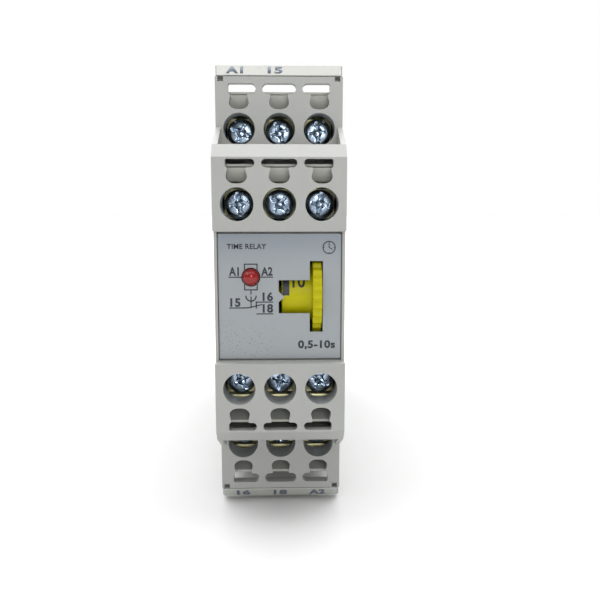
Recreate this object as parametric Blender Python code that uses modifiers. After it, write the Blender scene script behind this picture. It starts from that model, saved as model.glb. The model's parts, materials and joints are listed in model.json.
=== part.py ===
"""A 22.5 mm rail-mounted timer relay with twelve screw terminals, as separate solids.

Frame: X is the width, the front faces -Y, +Z is up. The timer stands on its lower end:
the origin is at the middle of its footprint. Front details are placed by their depth
behind the front face and their height above the middle of the label.
"""

import math

import bmesh
import bpy
from mathutils import Matrix, Vector

MM = 0.001

# Overall sizes
WIDTH = 22.5 * MM
HEIGHT = 82.0 * MM
DEPTH = 99.7 * MM

# Fits
GAP = 0.3 * MM  # between pieces that touch
THROUGH = 1.0 * MM  # how far a cutter runs past the wall that it cuts

# Stepped front, from the label outwards
END_INSET = 0.8 * MM  # the front stops this far inside the ends of the rear housing
FRONT_TIER = 14.45 * MM
DEEP_TIER = 14.35 * MM
TIER_STEP = 9.0 * MM
CHAMFER_RISE = 2.2 * MM
CHAMFER_DEPTH = 2.0 * MM
GUSSET_REACH = 3.55 * MM
GUSSET_INSET = 0.15 * MM
PLATE = 1.5 * MM
STEP_WALL = 1.0 * MM
CHEEK = 0.9 * MM
SHROUD_DEPTH = 19.2 * MM

# Label field
LABEL_DEPTH = 2.2 * MM
LABEL_THICK = 0.4 * MM
LABEL_RIM = 0.5 * MM
RIM_PROUD = 0.25 * MM

# Terminal openings, measured outwards from each tier's inner edge or from the hole
TERMINAL_MARGIN = 1.14 * MM  # width left over beside the three columns
HOLE_WEB = 1.52 * MM
POCKET_WEB = 0.92 * MM
FRONT_HOLE = 4.5 * MM
DEEP_HOLE = 3.25 * MM
NECK_START = 3.4 * MM
LOBE_START = 6.05 * MM
FRONT_LOBE = 1.4 * MM
DEEP_LOBE = 1.75 * MM
NECK_HALF = 1.65 * MM
LOBE_HALF = 3.0 * MM
LOBE_OUTER_HALF = 1.87 * MM

# Terminals, as depths behind their plate
HEAD_TOP = 6.0 * MM
HEAD_HEIGHT = 2.2 * MM
HEAD_CLEARANCE = 0.2 * MM
SHANK_RADIUS = 1.35 * MM
SHANK_LENGTH = 6.2 * MM
RECESS_WIDTH = 0.9 * MM
RECESS_LENGTH = 3.6 * MM
RECESS_DEPTH = 1.0 * MM
CLAMP_THICK = 1.1 * MM
CLAMP_LIP = 0.5 * MM
CLAMP_REACH = 4.05 * MM
WIRE_GAP = 1.7 * MM
BAR_THICK = 1.0 * MM
BAR_END = 27.0 * MM  # depth of the bar tails' ends behind the front face
BAR_TAIL = 1.8 * MM
POCKET_BACK = 2.9 * MM
CARRIER_WALL = 0.4 * MM
CARRIER_FLOOR = 1.4 * MM
RAMP_START = 4.65 * MM
RAMP_TOP = 6.3 * MM
RAMP_TOP_DEPTH = 2.4 * MM
RAMP_THICK = 0.4 * MM
RAMP_WALL = 1.05 * MM

# Marker strips and the notches beside them
STRIP_START = 38.2 * MM  # above the label's middle, at HEIGHT 82
STRIP_RISE = 1.5 * MM
STRIP_SIDE = 0.25 * MM
STRIP_SHELF = 1.2 * MM
NOTCH = 1.0 * MM

# Time wheel
WHEEL_AXIS_DEPTH = 8.3 * MM
WHEEL_RADIUS = 7.75 * MM
WHEEL_RIBS = 30
RIB_HEIGHT = 0.35 * MM
WHEEL_LEFT = 5.7 * MM
WHEEL_RIGHT = 7.3 * MM
DRUM_RADIUS = 5.4 * MM
DRUM_LEFT = 0.3 * MM
SHAFT_RADIUS = 1.2 * MM
SHAFT_STUB = 1.4 * MM
WINDOW_HALF = 2.9 * MM
WINDOW_LEFT = -0.2 * MM
SLOT_LEFT = 5.2 * MM
SLOT_RIGHT = 7.5 * MM
SLOT_HALF = 6.2 * MM
POINTER_REACH = 1.0 * MM
POINTER_HALF = 0.93 * MM

# Lamp
LAMP_X = -5.0 * MM
LAMP_HEIGHT = 3.45 * MM
LAMP_RADIUS = 1.5 * MM
LAMP_TIP_DEPTH = 0.9 * MM
LAMP_LENGTH = 5.0 * MM
LEAD_RADIUS = 0.3 * MM

# Rear housing
WALL = 1.5 * MM
SIDE_WALL = 0.9 * MM
NECK_DEPTH = 44.0 * MM  # where the housing widens to its full height
VENTS = 5
VENT_WIDTH = 1.6 * MM
VENT_PITCH = 5.0 * MM
VENT_HALF = 7.0 * MM
VENT_START = 52.0 * MM

# Rail seat, for a 35 mm top-hat rail
RAIL_WIDTH = 35.0 * MM
RAIL_FLANGE = 1.0 * MM
RAIL_PLAY = 0.6 * MM
RECESS_FLOOR = 4.7 * MM
PAD_PROUD = 0.3 * MM
HOOK_LIP = 1.8 * MM
LATCH_HALF = 4.5 * MM
LATCH_NECK_HALF = 3.0 * MM
LATCH_THICK = 1.6 * MM
LATCH_END = 3.5 * MM  # the latch's lower end above the timer's lower end
LATCH_WINDOW_HALF = 1.7 * MM
SPRING_RADIUS = 1.05 * MM
SPRING_WIRE = 0.2 * MM
SPRING_TURNS = 6
SPRING_LENGTH = 6.4 * MM

# Boards
BOARD = 1.6 * MM
FRONT_BOARD_DEPTH = 17.0 * MM
MAIN_BOARD_INSET = 0.8 * MM
CAPACITOR_DEPTH = 47.0 * MM
RELAY_FROM_RECESS = 35.0 * MM  # front of the relay's coil to the floor of the rail recess
RELAY_HEIGHT = -20.0 * MM  # its middle
RELAY_BASE = 2.0 * MM
RELAY_BASE_HALF = 7.0 * MM
RELAY_LENGTH = 24.0 * MM
RELAY_HALF = 4.5 * MM  # half the width of its yoke and armature
RELAY_SHEET = 1.2 * MM
COIL_RADIUS = 4.0 * MM
COIL_LENGTH = 20.0 * MM
FLANGE_RADIUS = 4.9 * MM
BLADE_HALF = 2.5 * MM
BLADE_THICK = 0.4 * MM
CHIP_ABOVE_RELAY = 1.0 * MM

HOLE_SIDES = 24
SCREW_SIDES = 20

# Worked out from the sizes above
HALF_WIDTH = WIDTH / 2
MID_HEIGHT = HEIGHT / 2
FRONT_Y = -DEPTH / 2
FRONT_HALF = HEIGHT / 2 - END_INSET
BLOCK_END = FRONT_HALF - DEEP_TIER
LABEL_HALF = BLOCK_END - FRONT_TIER
PITCH = (WIDTH - TERMINAL_MARGIN) / 3
HOLE_RADIUS = min((PITCH - HOLE_WEB) / 2, POCKET_BACK - GAP + HEAD_CLEARANCE)
POCKET_HALF = (PITCH - POCKET_WEB) / 2
CLAMP_HALF = POCKET_HALF - GAP
STRIP_HEIGHT = STRIP_START - 41.0 * MM + HEIGHT / 2
CLAMP_TOP = HEAD_TOP + HEAD_HEIGHT + GAP
BAR_TOP = CLAMP_TOP + CLAMP_THICK + WIRE_GAP
FLOOR_TOP = BAR_TOP + BAR_THICK + GAP
FLOOR_BACK = FLOOR_TOP + CARRIER_FLOOR
COLUMNS = {"left": -PITCH, "middle": 0.0, "right": PITCH}
CAVITY_HALF = HALF_WIDTH - SIDE_WALL
REAR_START = SHROUD_DEPTH + GAP
SKIRT_HALF_HEIGHT = BLOCK_END + DEEP_HOLE + RAMP_START + RAMP_WALL
NECK_HALF_HEIGHT = SKIRT_HALF_HEIGHT + WALL + GAP
RECESS_DEPTH_AT = DEPTH - RECESS_FLOOR
RAIL_HALF = (RAIL_WIDTH + RAIL_PLAY) / 2
HOOK_SLOT = PAD_PROUD + RAIL_FLANGE + 0.1 * MM
MAIN_BOARD_LEFT = -CAVITY_HALF + MAIN_BOARD_INSET
MAIN_BOARD_FACE = MAIN_BOARD_LEFT + BOARD + GAP
MAIN_BOARD_FRONT = BAR_END + 2 * GAP + BOARD + GAP


def clear_scene():
    for obj in list(bpy.data.objects):
        bpy.data.objects.remove(obj)


def new_collection(name, hidden=False):
    found = bpy.data.collections.new(name)
    bpy.context.scene.collection.children.link(found)
    found.hide_render = hidden
    return found


def material(name, colour, roughness=0.5, metallic=0.0):
    found = bpy.data.materials.new(name)
    found.use_nodes = True
    shader = found.node_tree.nodes["Principled BSDF"]
    shader.inputs["Base Color"].default_value = (*colour, 1.0)
    shader.inputs["Roughness"].default_value = roughness
    shader.inputs["Metallic"].default_value = metallic
    return found


clear_scene()
PARTS = new_collection("rail_timer")
CUTTERS = new_collection("cutters", hidden=True)

GREY_PLASTIC = material("light grey plastic", (0.42, 0.43, 0.41), 0.45)
DARK_PLASTIC = material("carrier plastic", (0.30, 0.31, 0.29), 0.55)
LABEL_FILM = material("silver grey label", (0.36, 0.38, 0.40), 0.4)
YELLOW_PLASTIC = material("yellow plastic", (0.62, 0.56, 0.02), 0.4)
RED_LENS = material("red lens", (0.60, 0.02, 0.02), 0.2)
ZINC = material("blue zinc", (0.42, 0.48, 0.55), 0.25, 1.0)
BRASS = material("brass", (0.62, 0.52, 0.28), 0.3, 1.0)
BOARD_GREEN = material("board", (0.05, 0.20, 0.09), 0.5)
BLACK_PLASTIC = material("black plastic", (0.02, 0.02, 0.02), 0.4)
BLUE_SLEEVE = material("blue sleeve", (0.03, 0.08, 0.30), 0.4)
COPPER = material("copper", (0.70, 0.32, 0.16), 0.3, 1.0)
STEEL = material("steel", (0.55, 0.55, 0.56), 0.3, 1.0)


def at(x, depth, height):
    """A point of the object from its depth behind the front and its height above the label's middle."""
    return Vector((x, FRONT_Y + depth, MID_HEIGHT + height))


def mesh_object(name, bm, skin, is_cutter):
    bmesh.ops.recalc_face_normals(bm, faces=bm.faces)
    mesh = bpy.data.meshes.new(name)
    bm.to_mesh(mesh)
    bm.free()
    obj = bpy.data.objects.new(name, mesh)
    if is_cutter:
        obj.hide_render = True
        obj.display_type = "WIRE"
        CUTTERS.objects.link(obj)
    else:
        mesh.materials.append(skin)
        PARTS.objects.link(obj)
    return obj


def box(name, x, depth, height, skin=None, origin=None):
    """A box from pairs of x, depth and height. It is a cutter when it has no skin."""
    low = at(min(x), min(depth), min(height))
    high = at(max(x), max(depth), max(height))
    origin = Vector((0, 0, 0)) if origin is None else origin
    bm = bmesh.new()
    bmesh.ops.create_cube(bm, size=1)
    size = high - low
    bmesh.ops.transform(
        bm,
        matrix=Matrix.Translation((low + high) / 2 - origin) @ Matrix.Diagonal((*size, 1)),
        verts=bm.verts,
    )
    obj = mesh_object(name, bm, skin, skin is None)
    obj.location = origin
    return obj


def cylinder(name, centre, radius, length, axis, skin=None, sides=HOLE_SIDES, tip=None, origin=None):
    """A round bar about its centre point, along X or Y. A tip radius makes it taper."""
    turn = {"X": Matrix.Rotation(math.pi / 2, 4, "Y"), "Y": Matrix.Rotation(-math.pi / 2, 4, "X")}[axis]
    origin = Vector((0, 0, 0)) if origin is None else origin
    bm = bmesh.new()
    bmesh.ops.create_cone(
        bm,
        cap_ends=True,
        segments=sides,
        radius1=radius,
        radius2=radius if tip is None else tip,
        depth=length,
    )
    bmesh.ops.transform(bm, matrix=Matrix.Translation(centre - origin) @ turn, verts=bm.verts)
    obj = mesh_object(name, bm, skin, skin is None)
    obj.location = origin
    if skin is not None:
        obj.data.shade_smooth()
        obj.data.set_sharp_from_angle(angle=math.radians(40))
    return obj


def outline_solid(name, points, centre, thickness, plane, skin=None, origin=None):
    """A flat outline given thickness. In plane YZ its points are (depth, height); in XZ, (x, height)."""
    curve = bpy.data.curves.new(name, "CURVE")
    curve.dimensions = "2D"
    curve.fill_mode = "BOTH"
    curve.extrude = thickness / 2
    spline = curve.splines.new("POLY")
    spline.points.add(len(points) - 1)
    for point, (a, b) in zip(spline.points, points):
        point.co = (a, b, 0, 1)
    spline.use_cyclic_u = True
    flat = bpy.data.objects.new(name + "_outline", curve)
    CUTTERS.objects.link(flat)
    evaluated = flat.evaluated_get(bpy.context.evaluated_depsgraph_get())
    bm = bmesh.new()
    bm.from_mesh(bpy.data.meshes.new_from_object(evaluated))
    bpy.data.objects.remove(flat)
    bmesh.ops.remove_doubles(bm, verts=bm.verts, dist=1e-6)
    if plane == "YZ":
        turn = Matrix(((0, 0, 1, centre), (1, 0, 0, FRONT_Y), (0, 1, 0, MID_HEIGHT), (0, 0, 0, 1)))
    else:
        turn = Matrix(((1, 0, 0, 0), (0, 0, 1, FRONT_Y + centre), (0, 1, 0, MID_HEIGHT), (0, 0, 0, 1)))
    origin = Vector((0, 0, 0)) if origin is None else origin
    bmesh.ops.transform(bm, matrix=Matrix.Translation(-origin) @ turn, verts=bm.verts)
    obj = mesh_object(name, bm, skin, skin is None)
    obj.location = origin
    return obj


def combine(obj, other, operation):
    modifier = obj.modifiers.new(operation.lower(), "BOOLEAN")
    modifier.operation = operation
    modifier.solver = "EXACT"
    modifier.object = other


def cut(obj, *cutters):
    for cutter in cutters:
        combine(obj, cutter, "DIFFERENCE")


def join(obj, *others):
    for other in others:
        combine(obj, other, "UNION")


def helper(obj):
    """Turns a solid made for joining into a hidden helper, so that it isn't a piece of its own."""
    obj.hide_render = True
    obj.display_type = "WIRE"
    for collection in list(obj.users_collection):
        collection.objects.unlink(obj)
    CUTTERS.objects.link(obj)
    return obj


def mirrored(points):
    """The upper half of a side outline, closed by its own reflection below the middle."""
    return points + [(depth, -height) for depth, height in reversed(points)]


def terminals():
    """Every terminal as (name, x, depth of its plate, height of its hole, outward direction, lobe height)."""
    rows = []
    for end, sign in (("upper", 1), ("lower", -1)):
        for tier, depth, hole, lobe in (
            ("front", 0.0, LABEL_HALF + FRONT_HOLE, FRONT_LOBE),
            ("deep", TIER_STEP, BLOCK_END + DEEP_HOLE, DEEP_LOBE),
        ):
            for column, x in COLUMNS.items():
                rows.append((f"{end}_{tier}_{column}", x, depth, sign * hole, sign, lobe))
    return rows


def slot_outline(x, hole, sign, lobe):
    """The wire slot: a neck towards the screw hole and a wider lobe outside it."""
    left = LOBE_OUTER_HALF if x < 0 else LOBE_HALF
    right = LOBE_OUTER_HALF if x > 0 else LOBE_HALF
    round_off = lobe / 3
    points = [
        (-NECK_HALF, LOBE_START + THROUGH / 10),
        (-NECK_HALF, NECK_START + round_off),
        (-NECK_HALF + round_off, NECK_START),
        (NECK_HALF - round_off, NECK_START),
        (NECK_HALF, NECK_START + round_off),
        (NECK_HALF, LOBE_START),
        (right - round_off, LOBE_START),
        (right, LOBE_START + round_off),
        (right, LOBE_START + lobe - round_off),
        (right - round_off, LOBE_START + lobe),
        (-left + round_off, LOBE_START + lobe),
        (-left, LOBE_START + lobe - round_off),
        (-left, LOBE_START + round_off),
        (-left + round_off, LOBE_START),
        (-NECK_HALF, LOBE_START),
    ]
    return [(x + a, hole + sign * b) for a, b in points[1:]]


def window_outline(clearance):
    """The label's opening for the time wheel, with a pointer on its left edge."""
    left = WINDOW_LEFT - clearance
    half = WINDOW_HALF + clearance
    return [
        (left, -half),
        (SLOT_LEFT - clearance, -half),
        (SLOT_LEFT - clearance, -SLOT_HALF - clearance),
        (SLOT_RIGHT + clearance, -SLOT_HALF - clearance),
        (SLOT_RIGHT + clearance, SLOT_HALF + clearance),
        (SLOT_LEFT - clearance, SLOT_HALF + clearance),
        (SLOT_LEFT - clearance, half),
        (left, half),
    ]


def make_front_shroud():
    rim_depth = LABEL_DEPTH - RIM_PROUD
    field_back = LABEL_DEPTH + LABEL_THICK + GAP + 0.8 * MM
    seat = TIER_STEP + STRIP_RISE + GAP
    outline = mirrored(
        [
            (rim_depth, LABEL_HALF),
            (0.0, LABEL_HALF),
            (0.0, BLOCK_END - CHAMFER_RISE),
            (CHAMFER_DEPTH, BLOCK_END),
            (TIER_STEP, BLOCK_END),
            (TIER_STEP, STRIP_HEIGHT - GAP),
            (seat, STRIP_HEIGHT - GAP),
            (seat, FRONT_HALF),
            (seat + STRIP_SHELF, FRONT_HALF),
            (seat + STRIP_SHELF, SKIRT_HALF_HEIGHT),
            (SHROUD_DEPTH, SKIRT_HALF_HEIGHT),
        ]
    )
    inside = mirrored(
        [
            (field_back, LABEL_HALF + STEP_WALL),
            (PLATE, LABEL_HALF + STEP_WALL),
            (PLATE, BLOCK_END - CHAMFER_RISE - 0.4 * MM),
            (PLATE + 1.0 * MM, BLOCK_END - PLATE),
            (TIER_STEP + PLATE, BLOCK_END - PLATE),
            (TIER_STEP + PLATE, STRIP_HEIGHT - 0.9 * MM),
            (seat + STRIP_SHELF + THROUGH, STRIP_HEIGHT - 0.9 * MM),
            (SHROUD_DEPTH + THROUGH, SKIRT_HALF_HEIGHT + THROUGH),
        ]
    )
    shroud = outline_solid("front_shroud", outline, 0.0, WIDTH, "YZ", GREY_PLASTIC)
    between = 2 * (HALF_WIDTH - CHEEK)
    cut(shroud, outline_solid("shroud_inside", inside, 0.0, between, "YZ"))
    for end in (-1, 1):
        gusset = [
            (CHAMFER_DEPTH + 2 * GUSSET_INSET, end * (BLOCK_END - GAP)),
            (CHAMFER_DEPTH + 2 * GUSSET_INSET, end * BLOCK_END),
            (TIER_STEP, end * (BLOCK_END + GUSSET_REACH)),
            (TIER_STEP + GAP, end * (BLOCK_END + GUSSET_REACH)),
            (TIER_STEP + GAP, end * (BLOCK_END - GAP)),
        ]
        for side in (-1, 1):
            middle = side * (HALF_WIDTH - GUSSET_INSET - CHEEK / 2)
            web = outline_solid(f"gusset_{side}_{end}", gusset, middle, CHEEK, "YZ", GREY_PLASTIC)
            join(shroud, helper(web))
    pocket = LABEL_DEPTH + LABEL_THICK + GAP
    label_pocket = box(
        "label_pocket",
        (-HALF_WIDTH + LABEL_RIM, HALF_WIDTH - LABEL_RIM),
        (0.0, pocket),
        (-LABEL_HALF + GAP, LABEL_HALF - GAP),
    )
    wheel_opening = outline_solid("wheel_opening", window_outline(0.45 * MM), pocket, 3 * MM, "XZ")
    lamp_hole = cylinder("lamp_hole", at(LAMP_X, pocket, LAMP_HEIGHT), LAMP_RADIUS + GAP, 3 * MM, "Y")
    cut(shroud, label_pocket, wheel_opening, lamp_hole)
    for name, x, depth, hole, sign, lobe in terminals():
        middle = depth + PLATE / 2
        length = PLATE + 2 * THROUGH
        screw_hole = cylinder(f"hole_{name}", at(x, middle, hole), HOLE_RADIUS, length, "Y")
        slot = outline_solid(f"slot_{name}", slot_outline(x, hole, sign, lobe), middle, length, "XZ")
        cut(shroud, screw_hole, slot)
    for side in (-1, 1):
        for end in (-1, 1):
            outer = side * (HALF_WIDTH - 0.45 * MM)
            near = end * (STRIP_HEIGHT - NOTCH)
            cut(
                shroud,
                box(
                    f"notch_{side}_{end}",
                    (outer, outer - side * NOTCH),
                    (TIER_STEP - THROUGH, TIER_STEP + PLATE + GAP / 2),
                    (near, near + end * NOTCH),
                ),
            )


def make_label():
    edge = LABEL_RIM + GAP / 2
    label = box(
        "label_plate",
        (-HALF_WIDTH + edge, HALF_WIDTH - edge),
        (LABEL_DEPTH, LABEL_DEPTH + LABEL_THICK),
        (-LABEL_HALF + 1.5 * GAP, LABEL_HALF - 1.5 * GAP),
        LABEL_FILM,
    )
    opening = window_outline(0.0)
    pointer = [
        (WINDOW_LEFT, POINTER_HALF),
        (WINDOW_LEFT + POINTER_REACH, 0.0),
        (WINDOW_LEFT, -POINTER_HALF),
    ]
    middle = LABEL_DEPTH + LABEL_THICK / 2
    cut(
        label,
        outline_solid("label_opening", opening + pointer, middle, 4 * LABEL_THICK, "XZ"),
        cylinder(
            "label_lamp_hole",
            at(LAMP_X, middle, LAMP_HEIGHT),
            LAMP_RADIUS + 0.2 * MM,
            4 * LABEL_THICK,
            "Y",
        ),
    )


def make_marker_strips():
    half = WIDTH - 2 * STRIP_SIDE
    for end, sign in (("upper", 1), ("lower", -1)):
        wedge = [
            (TIER_STEP, sign * STRIP_HEIGHT),
            (TIER_STEP + STRIP_RISE, sign * FRONT_HALF),
            (TIER_STEP + STRIP_RISE, sign * STRIP_HEIGHT),
        ]
        outline_solid(f"marker_strip_{end}", wedge, 0.0, half, "YZ", GREY_PLASTIC)


def carrier_section(plate_depth, hole, sign):
    """Side outline of the insulating block behind one row of terminals, ramp included."""
    outline = [
        (-POCKET_BACK - CARRIER_WALL, PLATE + GAP),
        (-POCKET_BACK - CARRIER_WALL, FLOOR_BACK),
        (RAMP_START + RAMP_WALL, FLOOR_BACK),
        (RAMP_START + RAMP_WALL, BAR_TOP - WIRE_GAP),
        (RAMP_TOP + RAMP_THICK, RAMP_TOP_DEPTH),
        (RAMP_TOP, RAMP_TOP_DEPTH),
        (RAMP_TOP - 0.4 * MM, PLATE + GAP),
    ]
    return [(plate_depth + depth, hole + sign * out) for out, depth in outline]


def pocket_section(plate_depth, hole, sign):
    outline = [
        (-POCKET_BACK, 0.0),
        (-POCKET_BACK, FLOOR_TOP),
        (RAMP_START, FLOOR_TOP),
        (RAMP_START, BAR_TOP - WIRE_GAP),
        (RAMP_TOP, RAMP_TOP_DEPTH),
        (RAMP_TOP, 0.0),
    ]
    return [(plate_depth + depth, hole + sign * out) for out, depth in outline]


def make_carriers():
    half = HALF_WIDTH - CHEEK - GAP
    for end, sign in (("upper", 1), ("lower", -1)):
        front_hole = sign * (LABEL_HALF + FRONT_HOLE)
        deep_hole = sign * (BLOCK_END + DEEP_HOLE)
        carrier = outline_solid(
            f"terminal_carrier_{end}",
            carrier_section(0.0, front_hole, sign),
            0.0,
            2 * half,
            "YZ",
            DARK_PLASTIC,
        )
        deep = outline_solid(
            f"deep_carrier_{end}",
            carrier_section(TIER_STEP, deep_hole, sign),
            0.0,
            2 * half,
            "YZ",
            DARK_PLASTIC,
        )
        bridge = box(
            f"carrier_bridge_{end}",
            (-half, half),
            (FLOOR_TOP + 0.2 * MM, FLOOR_BACK),
            (front_hole + sign * RAMP_START, deep_hole - sign * POCKET_BACK),
            DARK_PLASTIC,
        )
        join(carrier, helper(deep), helper(bridge))
        for name, x, depth, hole, side, _ in terminals():
            if side != sign:
                continue
            pocket = outline_solid(
                f"pocket_{name}", pocket_section(depth, hole, sign), x, 2 * POCKET_HALF, "YZ"
            )
            tip_hole = cylinder(
                f"tip_hole_{name}",
                at(x, depth + FLOOR_BACK, hole),
                SHANK_RADIUS + GAP,
                6 * MM,
                "Y",
                sides=12,
            )
            tail = hole - sign * (POCKET_BACK - GAP - BAR_THICK / 2)
            tail_slot = box(
                f"tail_slot_{name}",
                (x - BAR_TAIL / 2 - GAP, x + BAR_TAIL / 2 + GAP),
                (depth + FLOOR_TOP - THROUGH, depth + FLOOR_BACK + THROUGH),
                (tail - BAR_THICK / 2 - GAP, tail + BAR_THICK / 2 + GAP),
            )
            cut(carrier, pocket, tip_hole, tail_slot)


def screw_mesh():
    """The shared terminal screw, with its axis along Y and the top of its head at the origin."""
    centre = at(0, 0, 0)
    radius = HOLE_RADIUS - HEAD_CLEARANCE
    head = cylinder(
        "screw_head",
        centre + Vector((0, HEAD_HEIGHT / 2, 0)),
        radius,
        HEAD_HEIGHT,
        "Y",
        ZINC,
        SCREW_SIDES,
        origin=centre,
    )
    shank_middle = centre + Vector((0, HEAD_HEIGHT + SHANK_LENGTH / 2 - 0.1 * MM, 0))
    shank = cylinder("screw_shank", shank_middle, SHANK_RADIUS, SHANK_LENGTH, "Y", ZINC, 12, origin=centre)
    join(head, helper(shank))
    for index, (wide, tall) in enumerate(((RECESS_LENGTH, RECESS_WIDTH), (RECESS_WIDTH, RECESS_LENGTH))):
        cut(
            head,
            box(
                f"recess_{index}",
                (-wide / 2, wide / 2),
                (-THROUGH, RECESS_DEPTH),
                (-tall / 2, tall / 2),
            ),
        )
    bpy.context.view_layer.update()
    evaluated = head.evaluated_get(bpy.context.evaluated_depsgraph_get())
    mesh = bpy.data.meshes.new_from_object(evaluated)
    mesh.name = "terminal_screw"
    for name in ("screw_head", "screw_shank", "recess_0", "recess_1"):
        bpy.data.objects.remove(bpy.data.objects[name])
    return mesh


def make_terminals():
    screw = screw_mesh()
    for index, (name, x, depth, hole, sign, _) in enumerate(terminals()):
        obj = bpy.data.objects.new(f"terminal_screw_{name}", screw)
        obj.location = at(x, depth + HEAD_TOP, hole)
        obj.rotation_euler = (0, math.radians(37 * index), 0)
        PARTS.objects.link(obj)
        reach = (hole - sign * (POCKET_BACK - GAP), hole + sign * CLAMP_REACH)
        clamp = box(
            f"clamp_plate_{name}",
            (x - CLAMP_HALF, x + CLAMP_HALF),
            (depth + CLAMP_TOP, depth + CLAMP_TOP + CLAMP_THICK),
            reach,
            BRASS,
        )
        lip = box(
            f"clamp_lip_{name}",
            (x - CLAMP_HALF, x + CLAMP_HALF),
            (depth + CLAMP_TOP - CLAMP_LIP, depth + CLAMP_TOP + CLAMP_THICK / 2),
            (reach[1], reach[1] - sign * CLAMP_LIP),
            BRASS,
        )
        join(clamp, helper(lip))
        middle = at(x, depth + CLAMP_TOP, hole)
        cut(clamp, cylinder(f"clamp_hole_{name}", middle, SHANK_RADIUS + GAP, 6 * MM, "Y", sides=12))
        bar = box(
            f"terminal_bar_{name}",
            (x - CLAMP_HALF, x + CLAMP_HALF),
            (depth + BAR_TOP, depth + BAR_TOP + BAR_THICK),
            reach,
            BRASS,
        )
        tail = hole - sign * (POCKET_BACK - GAP - BAR_THICK / 2)
        leg = box(
            f"bar_leg_{name}",
            (x - BAR_TAIL / 2, x + BAR_TAIL / 2),
            (depth + BAR_TOP + BAR_THICK / 2, BAR_END),
            (tail - BAR_THICK / 2, tail + BAR_THICK / 2),
            BRASS,
        )
        join(bar, helper(leg))
        bar_hole = at(x, depth + BAR_TOP, hole)
        cut(bar, cylinder(f"bar_hole_{name}", bar_hole, SHANK_RADIUS + GAP, 6 * MM, "Y", sides=12))


def ribbed_outline():
    """The wheel's rim: shallow ribs all round, two points to a rib."""
    points = []
    for step in range(2 * WHEEL_RIBS):
        radius = WHEEL_RADIUS - (RIB_HEIGHT if step % 2 else 0.0)
        angle = math.pi * step / WHEEL_RIBS
        points.append((WHEEL_AXIS_DEPTH + radius * math.cos(angle), radius * math.sin(angle)))
    return points


def make_wheel():
    axis = at(0, WHEEL_AXIS_DEPTH, 0)
    width = WHEEL_RIGHT - WHEEL_LEFT
    wheel = outline_solid(
        "time_wheel", ribbed_outline(), WHEEL_LEFT + width / 2, width, "YZ", YELLOW_PLASTIC, origin=axis
    )
    drum_length = WHEEL_LEFT + width / 2 - DRUM_LEFT
    drum = cylinder(
        "wheel_drum",
        axis + Vector((DRUM_LEFT + drum_length / 2, 0, 0)),
        DRUM_RADIUS,
        drum_length,
        "X",
        YELLOW_PLASTIC,
        32,
    )
    shaft_left = WINDOW_LEFT - 2.6 * MM
    shaft_right = WHEEL_RIGHT + SHAFT_STUB
    shaft = cylinder(
        "wheel_shaft",
        axis + Vector(((shaft_left + shaft_right) / 2, 0, 0)),
        SHAFT_RADIUS,
        shaft_right - shaft_left,
        "X",
        YELLOW_PLASTIC,
        12,
    )
    join(wheel, helper(drum), helper(shaft))


def make_wheel_supports():
    """The potentiometer that the wheel turns, and the post that carries the shaft's other end."""
    foot = FRONT_BOARD_DEPTH - GAP
    pot_right = WINDOW_LEFT - GAP
    pot = cylinder(
        "potentiometer",
        at(pot_right - 1.2 * MM, WHEEL_AXIS_DEPTH, 0),
        4.2 * MM,
        2.4 * MM,
        "X",
        BLACK_PLASTIC,
    )
    stand = box(
        "pot_stand",
        (pot_right - 2.4 * MM, pot_right),
        (WHEEL_AXIS_DEPTH + 2 * MM, foot),
        (-3.6 * MM, 3.6 * MM),
        BLACK_PLASTIC,
    )
    join(pot, helper(stand))
    pot_bore = at(pot_right, WHEEL_AXIS_DEPTH, 0)
    cut(pot, cylinder("pot_bore", pot_bore, SHAFT_RADIUS + GAP, 8 * MM, "X", sides=12))
    post_left = WHEEL_RIGHT + GAP
    post = box(
        "wheel_post",
        (post_left, post_left + 1.4 * MM),
        (WHEEL_AXIS_DEPTH - 2.6 * MM, foot),
        (-2.6 * MM, 2.6 * MM),
        DARK_PLASTIC,
    )
    post_bore = at(post_left, WHEEL_AXIS_DEPTH, 0)
    cut(post, cylinder("post_bore", post_bore, SHAFT_RADIUS + GAP, 8 * MM, "X", sides=12))


def make_lamp():
    """A round lamp with a domed tip, a flange and two leads down to the front board."""
    profile = [
        (0.0, LAMP_TIP_DEPTH),
        *(
            (LAMP_RADIUS * math.sin(angle), LAMP_TIP_DEPTH + LAMP_RADIUS * (1 - math.cos(angle)))
            for angle in map(math.radians, (18, 36, 54, 72, 90))
        ),
        (LAMP_RADIUS, LAMP_TIP_DEPTH + LAMP_LENGTH),
        (LAMP_RADIUS + 0.3 * MM, LAMP_TIP_DEPTH + LAMP_LENGTH),
        (LAMP_RADIUS + 0.3 * MM, LAMP_TIP_DEPTH + LAMP_LENGTH + 0.6 * MM),
        (0.0, LAMP_TIP_DEPTH + LAMP_LENGTH + 0.6 * MM),
    ]
    bm = bmesh.new()
    verts = [bm.verts.new((radius, 0, -depth)) for radius, depth in profile]
    for first, second in zip(verts, verts[1:]):
        bm.edges.new((first, second))
    mesh = bpy.data.meshes.new("status_lamp")
    bm.to_mesh(mesh)
    bm.free()
    mesh.materials.append(RED_LENS)
    lamp = bpy.data.objects.new("status_lamp", mesh)
    PARTS.objects.link(lamp)
    lamp.rotation_euler = (math.pi / 2, 0, 0)
    lamp.location = at(LAMP_X, 0, LAMP_HEIGHT)
    screw = lamp.modifiers.new("turn", "SCREW")
    screw.axis = "Z"
    screw.steps = screw.render_steps = 20
    screw.use_merge_vertices = True
    screw.merge_threshold = 0.00001
    screw.use_smooth_shade = True
    back = LAMP_TIP_DEPTH + LAMP_LENGTH
    for side in (-1, 1):
        middle = at(LAMP_X + side * 0.9 * MM, (back + FRONT_BOARD_DEPTH - GAP) / 2, LAMP_HEIGHT)
        length = FRONT_BOARD_DEPTH - GAP - back
        join(lamp, helper(cylinder(f"lamp_lead_{side}", middle, LEAD_RADIUS, length, "Y", STEEL, 8)))


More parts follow.
